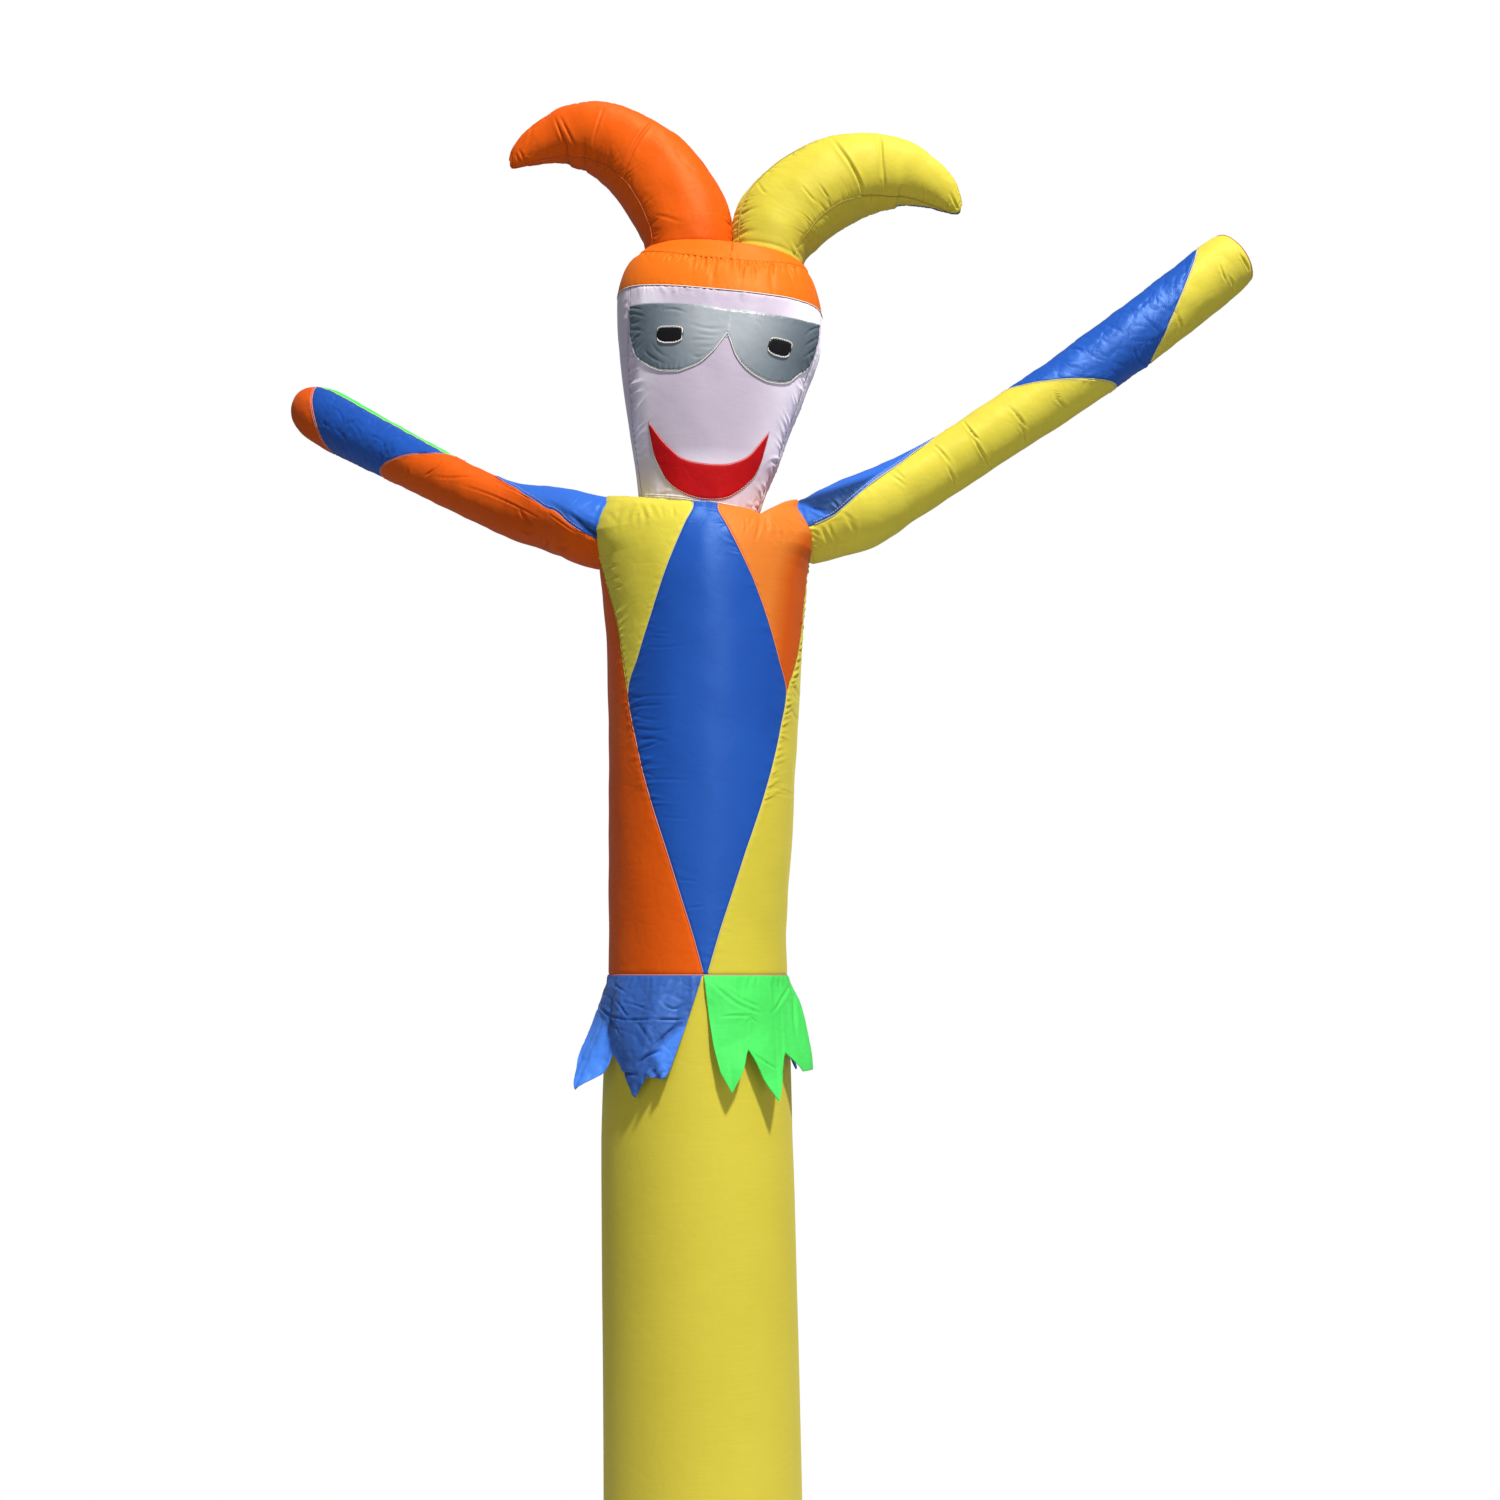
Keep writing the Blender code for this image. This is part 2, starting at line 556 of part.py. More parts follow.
def horn(tag, skin, inner_sign, outer_table, colour, back_colour):
    ts = [skin.length * k for k in (0.0, 0.07, 0.16, 0.26, 0.36, 0.46, 0.56, 0.66, 0.76,
                                    0.85, 0.92, 0.97, 1.0)]
    sides = {inner_sign: HORN_INNER, -inner_sign: outer_table}
    lo = [(t, -edge(sides[-1], t)) for t in ts]
    hi = [(t, edge(sides[1], t)) for t in ts]
    lo_b = [(t, -180.0 - v) for t, v in lo]
    hi_b = [(t, 180.0 - v) for t, v in hi]

    def guess(q):
        x = (q[0] - CROWN.MID_X) / 0.1385
        y = -q[1] / 0.078
        k = min(max(math.hypot(x, y), 0.15), 1.0)
        return (CROWN.FOLD + 0.13 * (1.0 - k), math.degrees(math.atan2(x, y)))

    onto = (CROWN, guess)
    names = {inner_sign: "inner", -inner_sign: "outer"}
    inset = (0, 0, 1, 1)
    panel(f"horn_{tag}_front", skin, strip(ts, lo, hi, 7), colour, inset=inset, onto=onto)
    panel(f"horn_{tag}_{names[1]}", skin, strip(ts, hi, hi_b, 4), colour, inset=inset,
          onto=onto)
    panel(f"horn_{tag}_back", skin, strip(ts, hi_b, shift(lo_b, 360.0), 7), back_colour,
          inset=inset, onto=onto)
    panel(f"horn_{tag}_{names[-1]}", skin, strip(ts, lo_b, lo, 4), colour, inset=inset,
          onto=onto)


horn("left", HORN_L, -1, HORN_OUTER_L, "orange", "orange")
horn("right", HORN_R, 1, HORN_OUTER_R, "yellow", "blue")

# ---------------------------------------------------------------- arms
# Shoulder piece: half-open angle from the top, along the sleeve. Slanted seams:
# distance along the sleeve at the top and at the bottom line.
SHOULDER_R = [(0.030, 98.0), (0.085, 94.0), (0.125, 80.0), (0.160, 69.0), (0.232, 53.0),
              (0.275, 38.0), (0.315, 20.0), (0.335, 4.0)]
SHOULDER_L = [(0.030, 114.0), (0.080, 96.0), (0.130, 82.0), (0.180, 68.0), (0.226, 54.0),
              (0.275, 44.0), (0.321, 28.0), (0.345, 4.0)]
SLANT_R = {"first": (0.452, 0.615), "second": (0.880, 0.687)}
SLANT_L = {"first": (0.432, 0.584), "second": (0.852, 0.737)}
ARM_SIDES = 16
# Columns of a sleeve, degrees on from its upper line. The left forearm's two
# lengthwise seams are its columns at 155 and 332.
ANGLES_R = [360.0 * k / ARM_SIDES for k in range(ARM_SIDES)]
FRONT_L = between(155.0, 332.0, 9)
BACK_L = [-28.0, -14.0, 0.0] + between(22.0, 132.0, 6) + [155.0]
ANGLES_L = BACK_L[2:] + FRONT_L[1:] + [346.0]


def slant(pair, off_top):
    """Distance along the sleeve of a slanted seam, off_top degrees from the top."""
    top, low = pair
    return top + (low - top) * (1.0 - math.cos(math.radians(off_top))) / 2.0


def torso_guess(sign):
    return lambda q: (float(np.clip(q[2] + 0.004, 2.18, 2.335)),
                      sign * 90.0 + sign * math.degrees(math.asin(
                          float(np.clip(q[1] / 0.15, -0.9, 0.9)))))


def arm(tag, skin, top, shoulder, first, angles, colours):
    """top is the angle of the sleeve's upper line, +90 or -90."""
    ts = [r[0] for r in shoulder]
    onto = (TORSO, torso_guess(-1.0 if tag == "left" else 1.0))
    upper = [[(t, th) for th in between(top - edge(shoulder, t), top + edge(shoulder, t), 9)]
             for t in ts]
    panel(f"arm_{tag}_shoulder", skin, upper, colours[0], inset=(0, 0, 1, 1), onto=onto)
    ends = [1.0] + angles[1:] + [359.0]
    count = len(ends)
    lower = [[(t, th) for th in between(top + edge(shoulder, t),
                                        top + 360.0 - edge(shoulder, t), count)] for t in ts]
    tip_row = [th for _, th in lower[-1]]
    start = ts[-1]
    for f in (0.25, 0.5, 0.75, 1.0):
        row = []
        for k in range(count):
            goal = slant(first, ends[k])
            th = tip_row[k] + (top + ends[k] - tip_row[k]) * f
            row.append((start + (goal - start) * f, th))
        lower.append(row)
    panel(f"arm_{tag}_upper", skin, lower, colours[1], inset=(0, 1, 1, 1), onto=onto)


def sleeve(top, pair_a, pair_b, steps, angles):
    """Grid between two slanted seams."""
    rows = []
    for i in range(steps + 1):
        f = i / steps
        rows.append([(slant(pair_a, a) * (1.0 - f) + slant(pair_b, a) * f, top + a)
                     for a in angles])
    return rows


def plain_rings(top, places, angles):
    return [[(t, top + a) for a in angles] for t in places]


arm("right", ARM_R, -90.0, SHOULDER_R, SLANT_R["first"], ANGLES_R, ("blue", "yellow"))
panel("arm_right_middle", ARM_R,
      sleeve(-90.0, SLANT_R["first"], SLANT_R["second"], 4, ANGLES_R), "blue", ring=True)
END_R = ARM_R.length - 0.0005
panel("arm_right_end", ARM_R,
      sleeve(-90.0, SLANT_R["second"], (END_R - 0.030, END_R - 0.030), 3, ANGLES_R)
      + plain_rings(-90.0, (END_R - 0.010, END_R), ANGLES_R),
      "yellow", ring=True, inset=(1, 0, 0, 0))

arm("left", ARM_L, 90.0, SHOULDER_L, SLANT_L["first"], ANGLES_L, ("blue", "orange"))
panel("arm_left_forearm_front", ARM_L,
      sleeve(90.0, SLANT_L["first"], SLANT_L["second"], 5, FRONT_L), "blue")
panel("arm_left_forearm_back", ARM_L,
      sleeve(90.0, SLANT_L["first"], SLANT_L["second"], 5, BACK_L), "green")
END_L = ARM_L.length - 0.0005
panel("arm_left_end", ARM_L,
      sleeve(90.0, SLANT_L["second"], (END_L - 0.024, END_L - 0.024), 3, ANGLES_L)
      + plain_rings(90.0, (END_L - 0.010, END_L), ANGLES_L),
      "orange", ring=True, inset=(1, 0, 0, 0), pole=True)

# Flat disc in the end of the right arm, slightly domed.
along, front, side = ARM_R.frame(ARM_R.length)
tip = ARM_R.centre(ARM_R.length)
disc_o, disc_i = [], []
for r, h in ((0.0462, -0.0002), (0.030, 0.0030), (0.012, 0.0048)):
    ring_o = []
    for k in range(ARM_SIDES):
        a = math.radians(-90.0 + 360.0 * k / ARM_SIDES)
        ring_o.append(tip[:3] + side * (r * math.sin(a)) + front * (r * math.cos(a)) + along * h)
    disc_i.append(ring_o)
    disc_o.append([p + along * WALL for p in ring_o])
shell("arm_right_disc", disc_o, disc_i, "yellow", ring=True,
      pole=(tip[:3] + along * (0.0051 + WALL), tip[:3] + along * 0.0051))

# ---------------------------------------------------------------- skirt
# Each column of a flap: angle at the waist, angle and height of its lower end,
# how far that end stands off the leg. The waist angles follow the leg's columns.
FLAP_COLS = ("top_deg", "end_deg", "end_z", "stand_off")
FLAP_BLUE = [
    (-90.0, -97.0, 1.4560, 0.024),
    (-81.0, -91.0, 1.4080, 0.042),
    (-72.0, -82.0, 1.3810, 0.050),
    (-63.0, -68.0, 1.4050, 0.036),
    (-54.0, -53.5, 1.4430, 0.018),
    (-45.0, -46.5, 1.4200, 0.018),
    (-36.0, -40.0, 1.4000, 0.021),
    (-27.0, -32.5, 1.3700, 0.023),
    (-18.0, -25.0, 1.4020, 0.019),
    (-9.0, -19.0, 1.4080, 0.016),
    (0.0, -15.0, 1.4120, 0.013),
    (4.6, -12.0, 1.4270, 0.010),
]
FLAP_GREEN = [
    (5.4, 10.5, 1.4480, 0.008),
    (9.0, 14.0, 1.4080, 0.012),
    (18.0, 19.5, 1.3780, 0.018),
    (27.0, 24.5, 1.4050, 0.020),
    (36.0, 29.5, 1.4430, 0.014),
    (45.0, 38.0, 1.3950, 0.020),
    (54.0, 45.0, 1.3620, 0.026),
    (63.0, 55.0, 1.4360, 0.016),
    (72.0, 68.0, 1.4040, 0.026),
    (81.0, 82.0, 1.4050, 0.036),
    (90.0, 95.0, 1.4520, 0.024),
]
FLAP_BACK = [
    (0.5, 2.0, 1.4500, 0.010),
    (9.0, 9.5, 1.4080, 0.015),
    (18.0, 19.0, 1.3760, 0.024),
    (27.0, 27.0, 1.4040, 0.022),
    (36.0, 35.0, 1.4420, 0.014),
    (45.0, 44.0, 1.3980, 0.022),
    (54.0, 54.0, 1.3700, 0.028),
    (63.0, 62.0, 1.4360, 0.016),
    (72.0, 70.0, 1.4000, 0.026),
    (81.0, 76.0, 1.4120, 0.026),
    (88.5, 81.0, 1.4400, 0.020),
]
FLAP_TOP_Z = WAIST_Z - 0.0006


def flap(name, table, colour, turn=0.0, flip=1.0):
    steps = 5
    grid = []
    for i in range(steps + 1):
        f = i / steps
        row = []
        for top, end, end_z, off in table:
            a = math.radians(turn + flip * (top + (end - top) * f))
            z = FLAP_TOP_Z + (end_z - FLAP_TOP_Z) * f
            t, _, cx, r = curve(LEG.t, [(q[0], q[0], q[2], q[3]) for q in LEG_ROWS], z)
            rad = r + 0.0005 + 0.0028 * min(1.0, 4 * f) + off * f ** 1.4
            row.append(np.array([cx + rad * math.sin(a), -rad * math.cos(a), z]))
        grid.append(row)
    g = np.array(grid)
    du = np.gradient(g, axis=1)
    dv = np.gradient(g, axis=0)
    n = np.cross(du, dv)
    n /= np.linalg.norm(n, axis=2)[:, :, None]
    axis = np.array([-0.018, 0.0, 0.0])
    away = g - axis
    away[:, :, 2] = 0.0
    n *= np.sign(np.sum(n * away, axis=2))[:, :, None]
    out = g + n * 0.0010
    out[0, :, 2] = FLAP_TOP_Z
    return shell(name, [list(r) for r in out], [list(r) for r in g], colour)


flap("skirt_front_left", FLAP_BLUE, "blue")
flap("skirt_front_right", FLAP_GREEN, "green")
flap("skirt_back_left", FLAP_BACK, "green", 180.0, 1.0)
flap("skirt_back_right", FLAP_BACK, "blue", 180.0, -1.0)

# ---------------------------------------------------------------- face pieces
# Columns across the face: angle, lower edge, upper edge.
MASK = [
    (-56.5, 2.5745, 2.6295), (-50.5, 2.5390, 2.6292), (-44.0, 2.5265, 2.6288),
    (-36.0, 2.5160, 2.6284), (-27.3, 2.5103, 2.6282), (-19.0, 2.5100, 2.6281),
    (-12.0, 2.5160, 2.6276), (-6.0, 2.5250, 2.6264), (-0.6, 2.5425, 2.6250),
    (3.0, 2.5660, 2.6242), (5.0, 2.5810, 2.6240), (7.0, 2.5690, 2.6240),
    (12.2, 2.5423, 2.6243), (19.0, 2.5255, 2.6248), (27.0, 2.5160, 2.6254),
    (36.0, 2.5113, 2.6262), (45.0, 2.5140, 2.6278), (54.0, 2.5220, 2.6296),
    (61.3, 2.5403, 2.6330), (67.5, 2.5520, 2.6360), (72.0, 2.5700, 2.6385),
]
MOUTH = [
    (-43.5, 2.4180, 2.4350), (-40.0, 2.3865, 2.4270), (-35.0, 2.3690, 2.4160),
    (-29.5, 2.3552, 2.4055), (-23.0, 2.3470, 2.3960), (-15.0, 2.3410, 2.3865),
    (-6.0, 2.3372, 2.3830), (4.0, 2.3360, 2.3824), (12.0, 2.3372, 2.3836),
    (20.0, 2.3400, 2.3858), (28.0, 2.3450, 2.3915), (35.0, 2.3530, 2.3990),
    (42.0, 2.3640, 2.4140), (47.5, 2.3760, 2.4290), (51.0, 2.4060, 2.4395),
]
EYE_COLS = ("across", "low", "high")
EYE = [
    (-1.00, -0.34, 0.42), (-0.86, -0.66, 0.80), (-0.58, -0.90, 0.92), (-0.20, -1.00, 0.95),
    (0.20, -1.00, 0.95), (0.58, -0.90, 0.92), (0.86, -0.66, 0.80), (1.00, -0.34, 0.42),
]
EYES = {
    "eye_left": (-24.2, 8.3, 2.5697, 0.0143),
    "eye_right": (37.4, 8.4, 2.5697, 0.0146),
}


def sewn_on(name, table, colour, lift, rows):
    spread = [[(lo + (hi - lo) * i / (rows - 1), th) for th, lo, hi in table]
              for i in range(rows)]
    return panel(name, HEAD, spread, colour, inset=(0, 0, 0, 0), lift=lift + PATCH_WALL,
                 wall=PATCH_WALL)


sewn_on("face_mask", MASK, "satin", PATCH_LIFT, 5)
sewn_on("face_mouth", MOUTH, "red", PATCH_LIFT, 3)
for eye_name, (mid, half, height, tall) in EYES.items():
    eye_table = [(mid + half * x, height + tall * lo, height + tall * hi)
                 for x, lo, hi in EYE]
    sewn_on(eye_name, eye_table, "black", PATCH_LIFT + PATCH_WALL + 0.0006, 3)


# ---------------------------------------------------------------- openings
def cutter(name, ring_a, ring_b):
    """Closed prism between two rings, used only to cut."""
    count = len(ring_a)
    verts = list(ring_a) + list(ring_b)
    faces = [(k, (k + 1) % count, count + (k + 1) % count, count + k) for k in range(count)]
    faces += [tuple(range(count - 1, -1, -1)), tuple(range(count, 2 * count))]
    ob = add_object(name, verts, faces, None)
    ob.hide_render = True
    ob.display_type = "WIRE"
    return ob


def open_up(cut, names):
    for name in names:
        ob = bpy.data.objects[name]
        mod = ob.modifiers.new("opening_" + cut.name, "BOOLEAN")
        mod.operation = "DIFFERENCE"
        mod.solver = "EXACT"
        mod.object = cut


def pipe_cutter(name, skin, at_t, less, back, ahead, count=20):
    along, front, side = skin.frame(at_t)
    x, y, z, a, b = skin.centre(at_t)
    mid = np.array([x, y, z])
    rings = []
    for reach in (-back, ahead):
        ring = []
        for k in range(count):
            s, f = oval(360.0 * k / count, skin.n)
            ring.append(mid + along * reach + side * ((a - less) * s) + front * ((b - less) * f))
        rings.append(ring)
    return cutter(name, rings[0], rings[1])


arm_cut_l = pipe_cutter("cut_arm_left", ARM_L, 0.045, 0.0060, 0.050, 0.040)
open_up(arm_cut_l, ("torso_front_left", "torso_side_left", "torso_back_left"))
arm_cut_r = pipe_cutter("cut_arm_right", ARM_R, 0.035, 0.0060, 0.050, 0.030)
open_up(arm_cut_r, ("torso_front_right", "torso_side_right", "torso_back_right"))
horn_cut_l = pipe_cutter("cut_horn_left", HORN_L, 0.012, 0.0060, 0.040, 0.030)
open_up(horn_cut_l, ("cap_top_left",))
horn_cut_r = pipe_cutter("cut_horn_right", HORN_R, 0.012, 0.0060, 0.040, 0.030)
open_up(horn_cut_r, ("cap_top_right",))
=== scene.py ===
# %% [markdown]
# # An inflatable air dancer
# This lesson dresses the plain solids of an inflatable figure: a jester sewn from thin
# coated cloth, held up by the air inside it. The solids already have the size and the
# main shape. Here every cloth panel is made again as a thin sheet with its puckers,
# creases, seams and stitches. All sizes are in metres, +Z is up and the front faces -Y.

# %% Load the frame
import json
import math

import bpy
import numpy as np
from mathutils import Matrix

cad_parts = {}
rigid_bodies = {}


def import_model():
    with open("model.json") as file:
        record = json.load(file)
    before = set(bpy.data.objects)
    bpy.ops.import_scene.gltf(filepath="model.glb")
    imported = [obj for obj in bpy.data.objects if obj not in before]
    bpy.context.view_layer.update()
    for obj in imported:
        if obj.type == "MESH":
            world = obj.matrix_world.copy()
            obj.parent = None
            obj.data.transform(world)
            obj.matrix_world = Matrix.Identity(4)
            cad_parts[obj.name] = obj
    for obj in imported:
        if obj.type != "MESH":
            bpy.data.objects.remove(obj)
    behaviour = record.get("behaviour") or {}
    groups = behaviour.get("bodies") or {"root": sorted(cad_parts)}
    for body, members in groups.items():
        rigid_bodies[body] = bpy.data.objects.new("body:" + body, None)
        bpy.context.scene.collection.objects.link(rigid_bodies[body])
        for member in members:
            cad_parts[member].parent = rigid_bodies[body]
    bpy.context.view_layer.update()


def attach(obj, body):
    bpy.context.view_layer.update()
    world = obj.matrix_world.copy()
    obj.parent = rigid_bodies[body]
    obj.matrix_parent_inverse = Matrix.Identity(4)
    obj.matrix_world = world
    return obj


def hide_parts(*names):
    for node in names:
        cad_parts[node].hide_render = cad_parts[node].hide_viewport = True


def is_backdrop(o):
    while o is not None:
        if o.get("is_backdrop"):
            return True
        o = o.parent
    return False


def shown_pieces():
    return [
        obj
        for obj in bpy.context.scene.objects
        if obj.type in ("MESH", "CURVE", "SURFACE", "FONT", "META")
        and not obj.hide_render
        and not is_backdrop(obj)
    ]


for start_up in list(bpy.data.objects):
    bpy.data.objects.remove(start_up)
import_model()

# %% [markdown]
# ## Camera, floor and light
# The figure was seen from close by at waist height, with the lens tilted up, so the waist
# seam is a straight line and the head is seen from below. A camera with the same height,
# tilt and width of view keeps those proportions. The floor is a pale round stand that
# stays below the picture. A small strong light high on the right is the sun, a wide weak
# one on the left is the sky, and one low on the right is the light off the ground. Every
# material and tree below is made of nodes, and a small class adds them.

# %% Camera
EYE = (0.017, -2.5385, 1.55)
TILT_UP = 8.53         # degrees
lens = bpy.data.cameras.new("picture")
lens.sensor_width = 36.0
lens.lens = 36.0


def shown(ob):
    """Puts a new object in the scene."""
    bpy.context.scene.collection.objects.link(ob)
    return ob


camera = shown(bpy.data.objects.new("picture", lens))
camera.location = EYE
camera.rotation_euler = (math.radians(90.0 + TILT_UP), 0.0, 0.0)
bpy.context.scene.camera = camera
print("camera at", EYE)


# %% Nodes
class Nodes:
    """Adds nodes to a tree. Inputs go by label or number, as values or as wires."""

    def __init__(self, tree):
        self.tree = tree
        self.family = {"SHADER": "ShaderNode", "GEOMETRY": "GeometryNode"}[tree.type]

    def fill(self, node, inputs):
        for label, v in inputs.items():
            v = getattr(v, "socket", v)
            if isinstance(v, bpy.types.NodeSocket):
                self.tree.links.new(v, node.inputs[label])
            else:
                node.inputs[label].default_value = v
        return node

    def add(self, kind, inputs=None, **settings):
        """A new node; a kind without the word Node is of the tree's own family."""
        node = self.tree.nodes.new(kind if "Node" in kind else self.family + kind)
        for k, v in settings.items():
            setattr(node, k, v)
        return self.fill(node, inputs or {})


class Wire:
    """A number in a tree; sums and products with it become Math nodes."""

    def __init__(self, nodes, socket):
        self.nodes, self.socket = nodes, socket

    def math(self, op, *others):
        node = self.nodes.add("ShaderNodeMath", dict(enumerate((self, *others))), operation=op)
        return Wire(self.nodes, node.outputs[0])

    def __add__(self, other):
        return self.math("ADD", other)

    def __sub__(self, other):
        return self.math("SUBTRACT", other)

    def __mul__(self, other):
        return self.math("MULTIPLY", other)

    def __truediv__(self, other):
        return self.math("DIVIDE", other)


# %% Floor
def plain_material(name, colour, rough):
    m = bpy.data.materials.new(name)
    m.use_nodes = True
    look = {"Base Color": (*colour, 1.0), "Roughness": rough}
    Nodes(m.node_tree).fill(m.node_tree.nodes["Principled BSDF"], look)
    return m


FLOOR_R, FLOOR_SIDES = 1.95, 96
ring = [(FLOOR_R * math.cos(a), FLOOR_R * math.sin(a) - 0.1, -0.0005)
        for a in np.linspace(0.0, 2.0 * math.pi, FLOOR_SIDES + 1)[:-1]]
floor_mesh = bpy.data.meshes.new("floor")
floor_mesh.from_pydata(ring, [], [tuple(range(FLOOR_SIDES))])
floor_mesh.materials.append(plain_material("pale floor", (0.8, 0.8, 0.79), 0.7))
shown(bpy.data.objects.new("floor", floor_mesh))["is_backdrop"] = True

# %% Lights
LIGHTS = {  # name: place, what it points at, size, power, colour
    "sun side": ((1.9, -4.0, 7.9), (0.0, 0.0, 1.9), 0.7, 900.0, (1.0, 0.965, 0.91)),
    "sky side": ((-1.6, -5.0, 2.4), (0.0, 0.0, 1.9), 3.4, 42.0, (0.9, 0.94, 1.0)),
    "ground side": ((3.0, -2.6, 0.6), (0.1, 0.0, 2.5), 2.6, 26.0, (0.97, 0.97, 1.0)),
}
for name, (place, aim, size, power, colour) in LIGHTS.items():
    lamp = bpy.data.lights.new(name, "AREA")
    lamp.shape = "DISK"
    lamp.size = size
    lamp.energy = power
    lamp.color = colour
    ob = shown(bpy.data.objects.new(name, lamp))
    ob.location = place
    away = np.array(place) - np.array(aim)
    flat = math.hypot(away[0], away[1])
    ob.rotation_euler = (math.atan2(flat, away[2]), 0.0, math.atan2(away[0], -away[1]))
print("lights:", list(LIGHTS))

# %% Sky
# The picture's background is plain white. The same white, shining at full strength,
# would wash the cloth out, so what the camera sees is white and what lights is weaker.
world = bpy.data.worlds.new("white room")
bpy.context.scene.world = world
world.use_nodes = True
world.node_tree.nodes.clear()
sky = Nodes(world.node_tree)
white = sky.add("Background", {"Color": (1.0, 1.0, 1.0, 1.0)})
weaker = sky.add("Background", {"Color": (0.95, 0.97, 1.0, 1.0), "Strength": 0.21})
path = sky.add("LightPath")
both = sky.add("MixShader", {"Fac": path.outputs["Is Camera Ray"],
                                       1: weaker.outputs[0], 2: white.outputs[0]})
sky.add("OutputWorld", {"Surface": both.outputs[0]})
bpy.context.scene.view_settings.view_transform = "Standard"

# %% [markdown]
# ## Cloth finishes
# The figure is sewn from taffeta: a thin plain weave with a coated back, slightly shiny,
# that keeps every crumple it was packed with. One function builds the finish, and each
# colour calls it with its own values. The weave follows the cloth, so it reads the
# sheet's own UV map, which is laid out in metres. Crumples and uneven dye have no
# direction and read object coordinates. The half-mask is a smoother, shinier satin.
# Some finishes mix their two colours by a map of painted light and shade laid on each sheet, in place
# of the uneven dye.

# %% Taffeta
WEAVE = 0.0011         # two threads of the weave


def taffeta(name, colour, shade, rough, sheen, crumple, shine, painted_light):
    """Coated cloth. shade is the colour of its duller places, crumple how strong the small packing
    wrinkles are. Cloth with painted light has its own map of painted light and shade, which mixes
    colour and shade; other cloth mixes them by a random field of uneven dye."""
    m = bpy.data.materials.new(name)
    m.use_nodes = True
    cloth = Nodes(m.node_tree)
    place = cloth.add("TexCoord")
    on_object, on_cloth = place.outputs["Object"], place.outputs["UV"]

    def noise(vector, scale, detail, output="Fac", **more):
        inputs = {"Vector": vector, "Scale": scale, "Detail": detail, **more}
        return cloth.add("TexNoise", inputs).outputs[output]

    def spread(v, **ends):
        inputs = {k.replace("_", " "): end for k, end in ends.items()}
        return cloth.add("MapRange", {"Value": v, **inputs}).outputs["Result"]

    def on_weave(scale):
        return cloth.add("Mapping", {"Vector": on_cloth, "Scale": scale}).outputs[0]

    # painted light and shade: mapped cloth mixes its two colours by a painted map on the sheet, other
    # cloth by a random field of uneven dye
    if painted_light:
        dye_and_painted_shade = cloth.add("Attribute", attribute_name="painted_shade_map").outputs["Fac"]
    else:
        dye_and_painted_shade = spread(noise(on_object, 3.2, 3.0, Roughness=0.6), From_Min=0.35, From_Max=0.68)
    tint = cloth.add("Mix", {0: dye_and_painted_shade, 6: (*colour, 1.0), 7: (*shade, 1.0)},
                     data_type="RGBA")
    threads = on_weave((1.0 / WEAVE, 1.0 / WEAVE, 1.0))
    warp, weft = [cloth.add("TexWave", {"Vector": threads, "Scale": 0.5},
                            bands_direction=way).outputs["Fac"] for way in "XY"]
    cross = Wire(cloth, warp).math("MAXIMUM", weft)
    # thread by thread the dye takes a little unevenly
    streak = spread(noise(on_weave((16.0, 420.0, 1.0)), 1.0, 1.0), To_Min=0.95, To_Max=1.05)
    thread_dye = cloth.add("Mix", {0: 1.0, 6: tint.outputs[2], 7: streak},
                           data_type="RGBA", blend_type="MULTIPLY")
    gloss = spread(noise(on_object, 26.0, 4.0, Roughness=0.65), To_Min=rough - 0.09,
                   To_Max=rough + 0.09)
    # small packing wrinkles: thin ridges where two soft fields cross
    wander = noise(on_object, 9.0, 2.0, "Color")
    moved = cloth.add("Mix", {0: 0.06, 4: on_object, 5: wander}, data_type="VECTOR")
    ridges = cloth.add("TexVoronoi", {"Vector": moved.outputs[1], "Scale": 34.0},
                       feature="DISTANCE_TO_EDGE")
    fold = spread(ridges.outputs["Distance"], From_Max=0.16)
    crush = noise(on_object, 60.0, 5.0, Roughness=0.6)
    normal = {}
    for height, strength, deep in ((fold, min(1.0, crumple), 0.0016),
                                   (crush, min(1.0, 0.12 + crumple), 0.0022),
                                   (cross, 0.22, 0.00012)):
        bump = cloth.add("Bump", {"Height": height, "Strength": strength,
                                            "Distance": deep, **normal})
        normal = {"Normal": bump.outputs["Normal"]}
    # the weave spreads each highlight along the panel's length
    lengthwise = cloth.add("Tangent", direction_type="UV_MAP", uv_map="UVMap")
    cloth.fill(m.node_tree.nodes["Principled BSDF"], {
        "Base Color": thread_dye.outputs[2], "Roughness": gloss,
        "Tangent": lengthwise.outputs[0], "Sheen Weight": sheen, "Sheen Roughness": 0.45,
        "Sheen Tint": (*[c ** 0.5 for c in colour], 1.0), "Specular IOR Level": shine,
        "Specular Tint": (*[(c / max(colour)) ** 0.4 for c in colour], 1.0),
        "Anisotropic": 0.6, "Anisotropic Rotation": 0.25, **normal})
    return m
